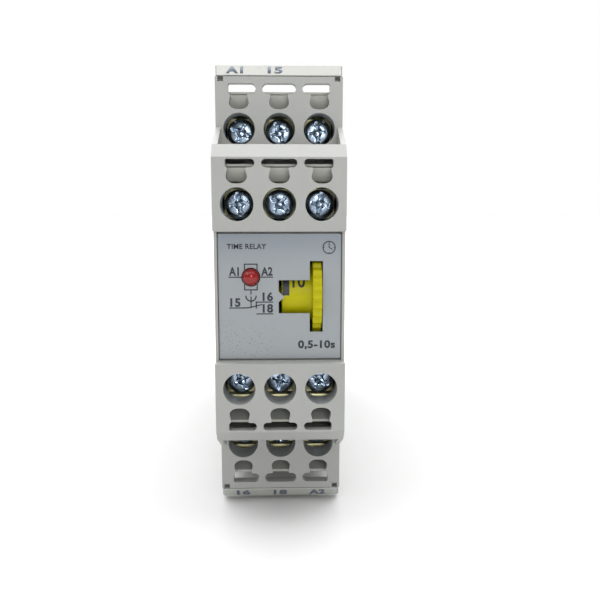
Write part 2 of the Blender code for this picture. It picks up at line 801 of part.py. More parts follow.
def make_rear_housing():
    back = RECESS_DEPTH_AT
    slot = back + HOOK_SLOT
    pad = back + PAD_PROUD
    pad_half = RAIL_HALF - HOOK_LIP - GAP
    outline = [
        (REAR_START, NECK_HALF_HEIGHT),
        (NECK_DEPTH, NECK_HALF_HEIGHT),
        (NECK_DEPTH, HEIGHT / 2),
        (DEPTH, HEIGHT / 2),
        (DEPTH, RAIL_HALF - HOOK_LIP),
        (slot, RAIL_HALF - HOOK_LIP),
        (slot, RAIL_HALF),
        (back, RAIL_HALF),
        (back, pad_half),
        (pad, pad_half),
        (pad, -pad_half),
        (back, -pad_half),
        (back, -RAIL_HALF),
        (DEPTH, -RAIL_HALF),
        (DEPTH, -HEIGHT / 2),
        (NECK_DEPTH, -HEIGHT / 2),
        (NECK_DEPTH, -NECK_HALF_HEIGHT),
        (REAR_START, -NECK_HALF_HEIGHT),
    ]
    housing = outline_solid("rear_housing", outline, 0.0, WIDTH, "YZ", GREY_PLASTIC)
    cavity = mirrored(
        [
            (REAR_START - THROUGH, NECK_HALF_HEIGHT - WALL),
            (NECK_DEPTH + WALL, NECK_HALF_HEIGHT - WALL),
            (NECK_DEPTH + WALL, HEIGHT / 2 - WALL),
            (back - WALL, HEIGHT / 2 - WALL),
        ]
    )
    cut(housing, outline_solid("housing_cavity", cavity, 0.0, 2 * CAVITY_HALF, "YZ"))
    for end in (-1, 1):
        for index in range(VENTS):
            start = VENT_START + index * VENT_PITCH
            wall = end * (HEIGHT / 2 - WALL / 2)
            cut(
                housing,
                box(
                    f"vent_{end}_{index}",
                    (-VENT_HALF, VENT_HALF),
                    (start, start + VENT_WIDTH),
                    (wall - WALL, wall + WALL),
                ),
            )
    floor = back + 0.2 * MM
    shoulder = floor + LATCH_THICK + 2 * GAP
    for name, half, depth in (
        ("latch_channel", LATCH_HALF + GAP, (floor, shoulder)),
        ("latch_throat", LATCH_NECK_HALF + GAP, (floor, DEPTH + THROUGH)),
    ):
        cut(housing, box(name, (-half, half), depth, (-HEIGHT / 2 - THROUGH, -RAIL_HALF + THROUGH)))
    post_low = -RAIL_HALF - 11.5 * MM
    post = box(
        "spring_post",
        (-1.0 * MM, 1.0 * MM),
        (floor - 0.3 * MM, floor + 2.6 * MM),
        (post_low, post_low + 1.2 * MM),
        GREY_PLASTIC,
    )
    join(housing, helper(post))
    return floor, post_low + 1.2 * MM


def make_latch(floor, post_top):
    """The spring latch at the rail's lower edge. It slides down to let the rail go."""
    low = -HEIGHT / 2 + LATCH_END
    base = (floor + GAP, floor + GAP + LATCH_THICK)
    nose = RECESS_DEPTH_AT + HOOK_SLOT + 0.2 * MM
    origin = at(0, RECESS_DEPTH_AT, -RAIL_HALF)
    latch = box(
        "rail_latch", (-LATCH_HALF, LATCH_HALF), base, (low, -RAIL_HALF - GAP), GREY_PLASTIC, origin
    )
    neck = box(
        "latch_neck",
        (-LATCH_NECK_HALF, LATCH_NECK_HALF),
        (base[0], DEPTH - GAP),
        (low, -RAIL_HALF - GAP),
        GREY_PLASTIC,
    )
    tongue = box(
        "latch_tongue",
        (-LATCH_NECK_HALF, LATCH_NECK_HALF),
        (nose, DEPTH - GAP),
        (-RAIL_HALF - 2 * MM, -RAIL_HALF + HOOK_LIP),
        GREY_PLASTIC,
    )
    join(latch, helper(neck), helper(tongue))
    spring_top = post_top + GAP + SPRING_LENGTH + SPRING_WIRE
    window = box(
        "spring_window",
        (-LATCH_WINDOW_HALF, LATCH_WINDOW_HALF),
        (floor - THROUGH, DEPTH - 1.0 * MM),
        (post_top - 1.2 * MM - GAP - 0.3 * MM, spring_top + GAP),
    )
    notch = box(
        "screwdriver_notch",
        (-1.6 * MM, 1.6 * MM),
        (floor, DEPTH - 1.5 * MM),
        (low - THROUGH, low + 2.5 * MM),
    )
    cut(latch, window, notch)
    return post_top + GAP + SPRING_WIRE, origin


def make_latch_spring(floor, bottom, origin):
    points_per_turn = 10
    count = SPRING_TURNS * points_per_turn
    curve = bpy.data.curves.new("rail_latch_spring", "CURVE")
    curve.dimensions = "3D"
    curve.bevel_depth = SPRING_WIRE
    curve.bevel_resolution = 1
    curve.use_fill_caps = True
    spline = curve.splines.new("POLY")
    spline.points.add(count)
    centre = at(0, floor + GAP + SPRING_RADIUS + SPRING_WIRE, bottom)
    for index, point in enumerate(spline.points):
        angle = 2 * math.pi * index / points_per_turn
        offset = Vector((SPRING_RADIUS * math.cos(angle), SPRING_RADIUS * math.sin(angle), 0))
        rise = Vector((0, 0, (SPRING_LENGTH - SPRING_WIRE) * index / count))
        point.co = (*(centre + offset + rise - origin), 1)
    curve.materials.append(STEEL)
    spring = bpy.data.objects.new("rail_latch_spring", curve)
    spring.location = origin
    PARTS.objects.link(spring)


def make_boards():
    tail_row = LABEL_HALF + FRONT_HOLE - POCKET_BACK
    box(
        "front_board",
        (-CAVITY_HALF + 0.5 * MM, CAVITY_HALF - 0.5 * MM),
        (FRONT_BOARD_DEPTH, FRONT_BOARD_DEPTH + BOARD),
        (-tail_row + 0.5 * MM, tail_row - 0.5 * MM),
        BOARD_GREEN,
    )
    for end, sign in (("upper", 1), ("lower", -1)):
        box(
            f"terminal_board_{end}",
            (-CAVITY_HALF + 0.5 * MM, CAVITY_HALF - 0.5 * MM),
            (BAR_END + GAP, BAR_END + GAP + BOARD),
            (sign * (tail_row - 1 * MM), sign * (BLOCK_END + DEEP_HOLE)),
            BOARD_GREEN,
        )
    half = NECK_HALF_HEIGHT - WALL - 0.5 * MM
    tongue = tail_row - 3 * MM
    outline = mirrored(
        [
            (FRONT_BOARD_DEPTH + BOARD + GAP, tongue),
            (MAIN_BOARD_FRONT, tongue),
            (MAIN_BOARD_FRONT, half),
            (RECESS_DEPTH_AT - WALL - 0.8 * MM, half),
        ]
    )
    outline_solid("main_board", outline, MAIN_BOARD_LEFT + BOARD / 2, BOARD, "YZ", BOARD_GREEN)


def make_board_parts():
    """What stands on the main board: the supply's filter and the timing chip."""
    face = MAIN_BOARD_FACE
    can = at(face + 6.5 * MM, CAPACITOR_DEPTH, 12 * MM)
    cylinder("filter_capacitor", can, 4.5 * MM, 13 * MM, "X", BLUE_SLEEVE, 20)
    low = RELAY_HEIGHT + RELAY_BASE_HALF + CHIP_ABOVE_RELAY
    box("timing_chip", (face, face + 1.7 * MM), (38 * MM, 44 * MM), (low, low + 10 * MM), BLACK_PLASTIC)


def make_relay():
    """An open relay: coil on a yoke, a hinged armature and the change-over blade that it pushes."""
    face = MAIN_BOARD_FACE
    top = face + RELAY_BASE
    front = RECESS_DEPTH_AT - RELAY_FROM_RECESS
    rear = front + RELAY_LENGTH
    across = (RELAY_HEIGHT - RELAY_HALF, RELAY_HEIGHT + RELAY_HALF)
    box(
        "relay_base",
        (face, top),
        (front - 4 * MM, rear + 1 * MM),
        (RELAY_HEIGHT - RELAY_BASE_HALF, RELAY_HEIGHT + RELAY_BASE_HALF),
        BLACK_PLASTIC,
    )

    yoke_x = top + GAP
    yoke = box("relay_yoke", (yoke_x, yoke_x + RELAY_SHEET), (front, rear), across, STEEL)
    heel = box("yoke_heel", (yoke_x, yoke_x + 12 * MM), (rear - RELAY_SHEET, rear), across, STEEL)
    join(yoke, helper(heel))

    coil_x = yoke_x + RELAY_SHEET + GAP + 5 * MM
    coil_middle = at(coil_x, front + 11.5 * MM, RELAY_HEIGHT)
    coil = cylinder("relay_coil", coil_middle, COIL_RADIUS, COIL_LENGTH, "Y", COPPER, 20)
    for index, depth in enumerate((front + 2 * MM, front + 21.5 * MM)):
        middle = at(coil_x, depth, RELAY_HEIGHT)
        flange = cylinder(f"coil_flange_{index}", middle, FLANGE_RADIUS, RELAY_SHEET, "Y", COPPER, 20)
        join(coil, helper(flange))

    box(
        "relay_armature",
        (yoke_x + 0.2 * MM, coil_x + 5.5 * MM),
        (front - GAP - RELAY_SHEET, front - GAP),
        across,
        STEEL,
        at(yoke_x + RELAY_SHEET / 2, front - GAP, RELAY_HEIGHT),
    )
    blade = front - 3.2 * MM
    box(
        "relay_contact_blade",
        (top + GAP, coil_x + 4.0 * MM),
        (blade - BLADE_THICK / 2, blade + BLADE_THICK / 2),
        (RELAY_HEIGHT - BLADE_HALF, RELAY_HEIGHT + BLADE_HALF),
        COPPER,
        at(top + GAP, blade, RELAY_HEIGHT),
    )


make_front_shroud()
make_label()
make_marker_strips()
make_carriers()
make_terminals()
make_wheel()
make_wheel_supports()
make_lamp()
latch_floor, spring_post_top = make_rear_housing()
spring_bottom, latch_origin = make_latch(latch_floor, spring_post_top)
make_latch_spring(latch_floor, spring_bottom, latch_origin)
make_boards()
make_board_parts()
make_relay()
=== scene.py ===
"""Looks of a narrow rail-mounted timer: moulded shells, printed label, screws and time wheel."""

import json
import math

import bmesh
import bpy
from mathutils import Matrix, Vector


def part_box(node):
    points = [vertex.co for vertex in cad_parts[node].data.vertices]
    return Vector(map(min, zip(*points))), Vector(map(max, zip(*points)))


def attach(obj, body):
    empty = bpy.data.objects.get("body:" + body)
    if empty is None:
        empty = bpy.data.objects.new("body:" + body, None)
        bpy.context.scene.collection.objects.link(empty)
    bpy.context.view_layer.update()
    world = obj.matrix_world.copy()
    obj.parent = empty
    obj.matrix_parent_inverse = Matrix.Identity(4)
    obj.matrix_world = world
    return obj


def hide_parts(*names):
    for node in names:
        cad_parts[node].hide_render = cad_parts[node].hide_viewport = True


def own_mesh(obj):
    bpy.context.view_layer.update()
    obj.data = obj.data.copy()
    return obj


bl_info = {
    "name": "Rail Timer",
    "version": (1, 0, 0),
    "blender": (4, 5, 0),
    "location": "View3D > Sidebar > Rail Timer",
    "description": "Builds the finished pieces of a rail-mounted timer around its frame",
    "category": "Object",
}

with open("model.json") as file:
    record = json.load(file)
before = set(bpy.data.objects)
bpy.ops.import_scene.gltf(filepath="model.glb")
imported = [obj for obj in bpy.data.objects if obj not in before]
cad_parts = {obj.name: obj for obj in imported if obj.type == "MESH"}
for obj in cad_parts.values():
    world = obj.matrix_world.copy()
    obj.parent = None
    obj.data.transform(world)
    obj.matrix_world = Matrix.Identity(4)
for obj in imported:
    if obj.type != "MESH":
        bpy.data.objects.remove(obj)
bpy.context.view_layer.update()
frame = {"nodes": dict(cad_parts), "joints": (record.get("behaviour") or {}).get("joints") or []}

MM = 0.001
COLUMNS = ("left", "middle", "right")
ENDS = {"upper": 1, "lower": -1}


def low(node):
    return Vector(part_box(node)[0])


def high(node):
    return Vector(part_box(node)[1])


def middle(node):
    return (low(node) + high(node)) / 2


FRONT_Y = low("front_shroud").y
MID_Z = middle("label_plate").z
HALF_WIDTH = high("front_shroud").x
FRONT_HALF = high("front_shroud").z - MID_Z
SHROUD_DEPTH = high("front_shroud").y - FRONT_Y
LABEL_Y = low("label_plate").y
LABEL_DEPTH = LABEL_Y - FRONT_Y
STRIP_HALF = low("marker_strip_upper").z - MID_Z
STRIP_DEPTH = low("marker_strip_upper").y - FRONT_Y
STRIP_BACK = high("marker_strip_upper").y - FRONT_Y
REAR_START = low("rear_housing").y - FRONT_Y
REAR_END = high("rear_housing").y - FRONT_Y
REAR_HALF = high("rear_housing").z - MID_Z
WHEEL_Y = middle("time_wheel").y
LAMP = middle("status_lamp")


def at(x, depth, height):
    """A point from its depth behind the front and its height above the label's middle."""
    return Vector((x, FRONT_Y + depth, MID_Z + height))


# ---------------------------------------------------------------- settings


def length(name, about, millimetres, least=0.0):
    return bpy.props.FloatProperty(
        name=name, description=about, default=millimetres * MM, min=least, unit="LENGTH", precision=5
    )


def colour(name, about, default):
    return bpy.props.FloatVectorProperty(
        name=name, description=about, default=default, subtype="COLOR", size=3, min=0.0, max=1.0
    )


class TIMER_PG_shell(bpy.types.PropertyGroup):
    """Sizes and colour of the moulded shells."""

    edge: length("Edge", "Rounding of the moulded edges", 0.16)
    hole_radius: length("Hole radius", "Radius of a screw hole", 2.8)
    plate: length("Plate", "Thickness of the front plates", 1.5)
    cheek: length("Cheek", "Thickness of the side walls", 0.9)
    chamfer_rise: length("Chamfer rise", "Height of the slope at each end of the front block", 2.2)
    chamfer_depth: length("Chamfer depth", "Depth of the same slope", 2.0)
    gusset: length("Gusset", "Reach of the side gussets over the deep plates", 3.55)
    block_half: length("Block half", "Half height of the raised front block", 25.85)
    label_half: length("Label half", "Half height of the label field", 11.4)
    rear_neck_half: length("Neck half", "Half height of the rear housing where it is narrow", 36.65)
    rear_neck_end: length("Neck end", "Depth at which the rear housing widens", 44.0)
    grey: colour("Grey", "Colour of the shells", (0.335, 0.340, 0.325))
    carrier: colour("Carrier", "Colour of the insulators behind the openings", (0.56, 0.57, 0.52))


class TIMER_PG_terminals(bpy.types.PropertyGroup):
    """Sizes and colours of the screws, clamp plates and wire slots."""

    neck_start: length("Neck start", "Nearest edge of a wire slot to the screw's axis", 3.4)
    lobe_start: length("Lobe start", "Where the slot widens", 6.05)
    front_lobe: length("Front lobe", "Height of the wide part in the front tier", 1.4)
    deep_lobe: length("Deep lobe", "Height of the wide part in the deep tier", 1.75)
    waist: length("Waist", "Half width of a slot where it meets the lobe", 1.5)
    belly: length("Belly", "Half width of a slot at its widest", 1.75)
    lobe_half: length("Lobe half", "Half width of the lobe", 3.0)
    lobe_outer: length("Lobe outer", "Half width of the lobe towards the side wall", 1.87)
    zinc: colour("Zinc", "Colour of the screws", (0.30, 0.38, 0.47))
    brass: colour("Brass", "Colour of the clamp plates", (0.47, 0.43, 0.25))


class TIMER_PG_label(bpy.types.PropertyGroup):
    """Sizes and colours of the printed label and the marker strips."""

    ink_proud: length("Ink", "Thickness of the printing", 0.02)
    line: length("Line", "Width of a printed line", 0.2)
    film: colour("Film", "Colour of the label film", (0.30, 0.32, 0.335))
    ink: colour("Ink", "Colour of the printing", (0.016, 0.02, 0.03))
    strip: colour("Strip", "Colour of the marker strips", (0.44, 0.445, 0.415))
    strip_ink: colour("Strip ink", "Colour of the terminal numbers", (0.09, 0.11, 0.15))


class TIMER_PG_wheel(bpy.types.PropertyGroup):
    """Sizes and colours of the time wheel and the lamp."""

    rim_radius: length("Rim radius", "Radius over the ribs", 7.75)
    rib_height: length("Rib height", "Depth of the grooves between ribs", 0.42)
    ribs: bpy.props.IntProperty(name="Ribs", description="Ribs round the rim", default=30, min=3)
    rim_left: length("Rim left", "Left face of the rim", 5.7)
    rim_right: length("Rim right", "Right face of the rim", 7.3)
    drum_radius: length("Drum radius", "Radius of the scale drum", 5.4)
    drum_left: length("Drum left", "Left end of the drum", 0.3, -1.0)
    yellow: colour("Yellow", "Colour of the wheel", (0.42, 0.39, 0.002))
    red: colour("Red", "Colour of the lamp", (0.17, 0.004, 0.005))


class TIMER_PG_stage(bpy.types.PropertyGroup):
    """The floor, the lights and the camera."""

    floor: colour("Floor", "Colour of the floor", (0.55, 0.55, 0.55))
    zenith: bpy.props.FloatProperty(
        name="Zenith", description="Light from straight above", default=4.6, min=0.0
    )
    front_light: bpy.props.FloatProperty(
        name="Front light", description="Light from the front, as a share", default=0.3, min=0.0
    )
    distance: length("Distance", "From the front face to the camera", 108.5)
    eye_height: length("Eye height", "Camera above the label's middle", 15.85)
    eye_side: length("Eye side", "Camera to the right of the middle", 0.32)
    pitch: bpy.props.FloatProperty(
        name="Pitch", description="Downward tilt", default=math.radians(8.43), subtype="ANGLE"
    )
    turn: bpy.props.FloatProperty(
        name="Turn", description="Turn to the right", default=math.radians(1.64), subtype="ANGLE"
    )
    lens: bpy.props.FloatProperty(
        name="Lens", description="Focal length in millimetres", default=38.64, subtype="DISTANCE_CAMERA"
    )


def settings(group):
    return getattr(bpy.context.scene, "timer_" + group)


# ---------------------------------------------------------------- shading


class Wire:
    """A shader socket whose arithmetic adds Math nodes."""

    def __init__(self, nodes, socket):
        self.nodes = nodes
        self.socket = socket

    def _math(self, operation, *values):
        return self.nodes.node("ShaderNodeMath", {"operation": operation}, dict(enumerate(values)))

    def __add__(self, other):
        return self._math("ADD", self, other)

    def __sub__(self, other):
        return self._math("SUBTRACT", self, other)

    def __rsub__(self, other):
        return self._math("SUBTRACT", other, self)

    def __mul__(self, other):
        return self._math("MULTIPLY", self, other)

    __radd__ = __add__
    __rmul__ = __mul__

    def mapped(self, start, end, low_value, high_value, how="LINEAR"):
        """From one value at start to another at end, and no further."""
        return self.nodes.node(
            "ShaderNodeMapRange",
            {"interpolation_type": how, "clamp": True},
            {"Value": self, "From Min": start, "From Max": end, "To Min": low_value, "To Max": high_value},
        )

    def clamped(self, start, end):
        """0 at start, 1 at end, smooth between."""
        return self.mapped(start, end, 0.0, 1.0, "SMOOTHSTEP")


class Nodes:
    """A node tree. Its node method makes every node that isn't arithmetic."""

    def __init__(self, tree):
        self.tree = tree

    def node(self, kind, how=None, values=None, out=0):
        made = self.tree.nodes.new(kind)
        for name, value in (how or {}).items():
            if name == "stops":
                ramp = made.color_ramp.elements
                while len(ramp) < len(value):
                    ramp.new(0.5)
                for element, (position, tone) in zip(ramp, value):
                    element.position = position
                    element.color = (*tone, 1.0)
            else:
                setattr(made, name, value)
        for name, value in (values or {}).items():
            self.feed(made.inputs[name], value)
        return Wire(self, made.outputs[out])

    def feed(self, socket, value):
        if isinstance(value, Wire):
            self.tree.links.new(value.socket, socket)
        elif socket.type == "RGBA":
            socket.default_value = (*value, 1.0)
        else:
            socket.default_value = value

    def coordinate(self, kind, axis=None):
        """A point by its kind of texture coordinate, or one of its three numbers."""
        point = self.node("ShaderNodeTexCoord", out=kind)
        if axis is None:
            return point
        return self.node("ShaderNodeSeparateXYZ", None, {"Vector": point}, axis)


class Finish(Nodes):
    """A material made of nodes round one Principled BSDF."""

    def __init__(self, name, roughness=0.5, metallic=0.0):
        self.material = bpy.data.materials.new(name)
        self.material.use_nodes = True
        super().__init__(self.material.node_tree)
        self.shader = self.tree.nodes["Principled BSDF"]
        self.set("Roughness", roughness)
        self.set("Metallic", metallic)

    def set(self, name, value):
        self.feed(self.shader.inputs[name], value)

    def place(self, axis=None):
        """The point on the surface in metres, or one of its coordinates."""
        return self.coordinate("Object", axis)

    def grain(self, size, detail=2.0, roughness=0.5):
        """Noise whose features are about the given size in metres, from 0 to 1."""
        return self.node(
            "ShaderNodeTexNoise",
            None,
            {"Vector": self.place(), "Scale": 1 / size, "Detail": detail, "Roughness": roughness},
        )

    def waves(self, direction, size, distortion):
        """Bands that follow each other along an axis, from 0 to 1."""
        return self.node(
            "ShaderNodeTexWave",
            {"bands_direction": direction},
            {"Vector": self.place(), "Scale": 1 / size, "Distortion": distortion},
        )

    def blend(self, mask, first, second, how="MIX"):
        """The first colour where the mask is 0, and the second laid over it where it is 1."""
        return self.node(
            "ShaderNodeMix",
            {"data_type": "RGBA", "clamp_factor": True, "blend_type": how},
            {0: mask, 6: first, 7: second},
            2,
        )

    def bump(self, height, distance):
        self.set("Normal", self.node("ShaderNodeBump", None, {"Height": height, "Distance": distance}))


def tinted(shade, factor):
    """A lighter or darker version of a colour."""
    return tuple(min(1.0, channel * factor) for channel in shade)


def plastic(name, shade, roughness=0.42, texture=0.012 * MM, mottle=0.05, grime=0.10, gloss=0.5):
    """Moulded plastic: spark-eroded grain, a faint mottle and some grime that has settled on it."""
    made = Finish(name, roughness)
    fine = made.grain(0.14 * MM, 3.0)
    broad = made.grain(9 * MM, 3.0)
    specks = made.grain(0.55 * MM, 4.0, 0.7).clamped(0.66, 0.80)
    body = made.blend(broad, tinted(shade, 1 - mottle), tinted(shade, 1 + mottle))
    dirt = made.blend(specks * grime * 2.0, body, tinted(shade, 0.55))
    made.set("Base Color", dirt)
    made.set("Roughness", broad * 0.10 + fine * 0.08 + (roughness - 0.09))
    made.set("Specular IOR Level", gloss)
    made.bump(fine, texture)
    return made.material


def label_film(shade):
    """Silver-grey film with a fine sparkle, darker and bluer towards its top edge as painted shadow of the
    raised block above, and dust at the lower left.
    """
    made = Finish("label film", 0.38)
    flake = made.grain(0.05 * MM, 2.0)
    across = made.place("X")
    up = made.place("Z") - MID_Z
    # Painted shadow: the film darkens and turns bluer towards its top edge, where the raised block above
    # shades it.
    top = up.clamped(4 * MM, 11.5 * MM)
    body = made.blend(top * 0.85, shade, (shade[0] * 0.80, shade[1] * 0.84, shade[2] * 0.90))
    sparkle = made.blend(flake, tinted(shade, 0.88), tinted(shade, 1.12))
    body = made.blend(0.25, body, sparkle, "SOFT_LIGHT")
    dust_zone = (1 - across.clamped(-2.5 * MM, 1.5 * MM)) * (1 - up.clamped(-6.5 * MM, -3.0 * MM))
    dust = made.grain(0.34 * MM, 3.0, 0.6).clamped(0.60, 0.66)
    scuff = made.grain(0.9 * MM, 5.0, 0.7).clamped(0.62, 0.80)
    body = made.blend(dust * dust_zone * 0.75, body, tinted(shade, 0.45))
    body = made.blend(scuff * 0.16, body, tinted(shade, 0.62))
    made.set("Base Color", body)
    made.set("Metallic", flake * 0.25 + 0.05)
    made.set("Roughness", scuff * 0.15 + 0.34)
    made.bump(flake, 0.004 * MM)
    return made.material


def ink(name, shade):
    made = Finish(name, 0.45)
    made.set("Base Color", made.blend(made.grain(0.25 * MM), tinted(shade, 0.8), tinted(shade, 1.5)))
    return made.material


def zinc(shade):
    """Blue-passivated zinc: bright, mottled from blue to straw, scratched by screwdrivers."""
    made = Finish("blue zinc", 0.2, 1.0)
    cloud = made.grain(1.3 * MM, 3.0)
    scratch = made.grain(0.18 * MM, 5.0)
    straw = (shade[0] * 1.5, shade[1] * 1.45, shade[2] * 1.5)
    stops = [(0.32, tinted(shade, 0.62)), (0.5, shade), (0.66, straw)]
    made.set("Base Color", made.node("ShaderNodeValToRGB", {"stops": stops}, {"Fac": cloud}))
    made.set("Roughness", scratch * 0.22 + 0.10)
    made.bump(scratch, 0.010 * MM)
    return made.material


def brass(shade):
    made = Finish("brass", 0.3, 1.0)
    cloud = made.grain(1.1 * MM, 4.0)
    fine = made.grain(0.12 * MM, 2.0)
    dull = (shade[0] * 0.62, shade[1] * 0.68, shade[2] * 0.7)
    made.set("Base Color", made.blend(cloud.clamped(0.35, 0.65), dull, shade))
    made.set("Roughness", cloud * 0.25 + 0.2)
    made.bump(fine, 0.012 * MM)
    return made.material


def plain_metal(name, shade, roughness):
    made = Finish(name, roughness, 1.0)
    fine = made.grain(0.25 * MM, 3.0)
    made.set("Base Color", made.blend(fine, tinted(shade, 0.82), tinted(shade, 1.1)))
    made.set("Roughness", fine * 0.2 + (roughness - 0.1))
    return made.material


def winding(shade):
    """Lacquered wire wound side by side along Y, with painted shade in the grooves between the turns."""
    made = Finish("copper winding", 0.3, 1.0)
    turns = made.waves("Y", 2.2 * MM, 0.3)
    # Painted shade: the colour darkens in bands between the turns, where the grooves between wires fall in
    # shade.
    made.set("Base Color", made.blend(turns, tinted(shade, 0.45), shade))
    made.bump(turns, 0.05 * MM)
    return made.material


def board(shade):
    """Solder mask over glass cloth, with a hint of its weave and tracks."""
    made = Finish("solder mask", 0.35)
    weave = made.grain(0.5 * MM, 1.0)
    tracks = made.waves("Z", 14 * MM, 6.0).clamped(0.75, 0.85)
    body = made.blend(weave, tinted(shade, 0.8), tinted(shade, 1.2))
    made.set("Base Color", made.blend(tracks * 0.5, body, tinted(shade, 2.0)))
    made.bump(tracks, 0.03 * MM)
    return made.material


def lens(shade):
    """Tinted clear resin: painted shade darkens its rim where it turns from the camera, and it glows a
    little towards its middle.
    """
    made = Finish("red lens", 0.08)
    edge = made.node("ShaderNodeLayerWeight", None, {"Blend": 0.35}, 1)
    # Painted light and shade: the base colour is lighter where the lens faces the camera and darker at its
    # rim.
    made.set("Base Color", made.blend(edge, tinted(shade, 1.25), tinted(shade, 0.35)))
    made.set("Emission Color", made.blend(edge, (0.5, 0.01, 0.01), (0.02, 0.0, 0.0)))
    made.set("Emission Strength", 0.12)
    made.set("Coat Weight", 0.25)
    made.set("Specular IOR Level", 0.35)
    made.set("Roughness", made.grain(0.6 * MM) * 0.08 + 0.05)
    return made.material


def matte(name, shade):
    made = Finish(name, 0.85)
    made.set("Base Color", made.blend(made.grain(60 * MM), tinted(shade, 0.99), shade))
    return made.material


MATERIALS = {}


def finish_for(name):
    """The material of the given name, made the first time it is asked for."""
    shell, label = settings("shell"), settings("label")
    wheel, terminals = settings("wheel"), settings("terminals")
    finishes = {
        "shell": (plastic, "light grey plastic", shell.grey),
        "carrier": (plastic, "carrier plastic", shell.carrier, 0.5),
        "strip": (plastic, "marker plastic", label.strip, 0.35, 0.006 * MM),
        "film": (label_film, label.film),
        "ink": (ink, "label ink", label.ink),
        "strip_ink": (ink, "strip ink", label.strip_ink),
        "yellow": (plastic, "yellow plastic", wheel.yellow, 0.34, 0.004 * MM, 0.06, 0.2, 0.15),
        "lens": (lens, wheel.red),
        "zinc": (zinc, terminals.zinc),
        "brass": (brass, terminals.brass),
        "black": (plastic, "black plastic", (0.02, 0.02, 0.022), 0.4),
        "steel": (plain_metal, "spring steel", (0.5, 0.5, 0.52), 0.3),
        "copper": (winding, (0.72, 0.34, 0.16)),
        "spring_copper": (plain_metal, "contact copper", (0.72, 0.42, 0.22), 0.3),
        "board": (board, (0.03, 0.16, 0.07)),
        "sleeve": (plastic, "blue sleeve", (0.03, 0.07, 0.28), 0.3, 0.003 * MM),
        "floor": (matte, "pale floor", settings("stage").floor),
    }
    if name not in MATERIALS:
        make, *how = finishes[name]
        MATERIALS[name] = make(*how)
    return MATERIALS[name]


# ---------------------------------------------------------------- mesh work


def linked(name, data):
    """A new object in the scene for a mesh, curve, light or camera."""
    obj = bpy.data.objects.new(name, data)
    bpy.context.scene.collection.objects.link(obj)
    return obj


def object_of(name, bm):
    mesh = bpy.data.meshes.new(name)
    bmesh.ops.recalc_face_normals(bm, faces=bm.faces)
    bm.to_mesh(mesh)
    bm.free()
    return linked(name, mesh)


def evaluated_mesh(obj):
    """The mesh of an object once its modifiers or its curve settings are worked out."""
    bpy.context.view_layer.update()
    return bpy.data.meshes.new_from_object(obj.evaluated_get(bpy.context.evaluated_depsgraph_get()))


def mesh_of_curve(curve):
    holder = linked(curve.name, curve)
    mesh = evaluated_mesh(holder)
    bpy.data.objects.remove(holder)
    return mesh


def block(name, x, depth, height):
    """A box from pairs of x, depth and height."""
    first, last = at(min(x), min(depth), min(height)), at(max(x), max(depth), max(height))
    bm = bmesh.new()
    bmesh.ops.create_cube(bm, size=1)
    place = Matrix.Translation((first + last) / 2) @ Matrix.Diagonal((*(last - first), 1))
    bmesh.ops.transform(bm, matrix=place, verts=bm.verts)
    return object_of(name, bm)


def rod(name, centre, radius, depth, sides=64, tip=None):
    """A cylinder along Y, or a cone that narrows towards the back."""
    tip = radius if tip is None else tip
    bm = bmesh.new()
    bmesh.ops.create_cone(bm, cap_ends=True, segments=sides, radius1=radius, radius2=tip, depth=depth)
    place = Matrix.Translation(centre) @ Matrix.Rotation(-math.pi / 2, 4, "X")
    bmesh.ops.transform(bm, matrix=place, verts=bm.verts)
    return object_of(name, bm)


def ring(bm, centre, radius, sides):
    """Vertices on a circle about an axis along Y."""
    x, y, z = centre
    angles = (2 * math.pi * k / sides for k in range(sides))
    return [bm.verts.new((x + radius * math.cos(turn), y, z + radius * math.sin(turn))) for turn in angles]


def loft(bm, rings, closed=(True, True)):
    """Joins closed rings of vertices in their order, and covers the first and last where asked."""
    for first, second in zip(rings, rings[1:]):
        for k, vert in enumerate(first):
            after = (k + 1) % len(first)
            bm.faces.new((vert, first[after], second[after], second[k]))
    for end, cover in zip((rings[0], rings[-1]), closed):
        if cover:
            bm.faces.new(end)


def vertices_in(parts):
    return [part for part in parts if isinstance(part, bmesh.types.BMVert)]


def outline(name, points, centre, thickness, plane="YZ"):
    """A flat outline given thickness. In plane YZ its points are (depth, height); in XZ, (x, height)."""
    bm = bmesh.new()
    if plane == "YZ":
        verts = [bm.verts.new(at(centre - thickness / 2, a, b)) for a, b in points]
        step = Vector((thickness, 0, 0))
    else:
        verts = [bm.verts.new(at(a, centre - thickness / 2, b)) for a, b in points]
        step = Vector((0, thickness, 0))
    face = bm.faces.new(verts)
    moved = bmesh.ops.extrude_face_region(bm, geom=[face])["geom"]
    bmesh.ops.translate(bm, vec=step, verts=vertices_in(moved))
    return object_of(name, bm)


def mirrored(points):
    """An outline whose upper half is given from the front to the back."""
    return points + [(depth, -height) for depth, height in reversed(points)]


def boolean(obj, others, operation="DIFFERENCE"):
    """Cuts the others from an object, or joins them to it, and removes them."""
    for other in others:
        modifier = obj.modifiers.new("cut", "BOOLEAN")
        modifier.operation = operation
        modifier.solver = "EXACT"
        modifier.object = other
    settle(obj)
    for other in others:
        bpy.data.objects.remove(other)


def settle(obj):
    """Makes the object's modifiers part of its mesh."""
    mesh = evaluated_mesh(obj)
    obj.modifiers.clear()
    obj.data = mesh


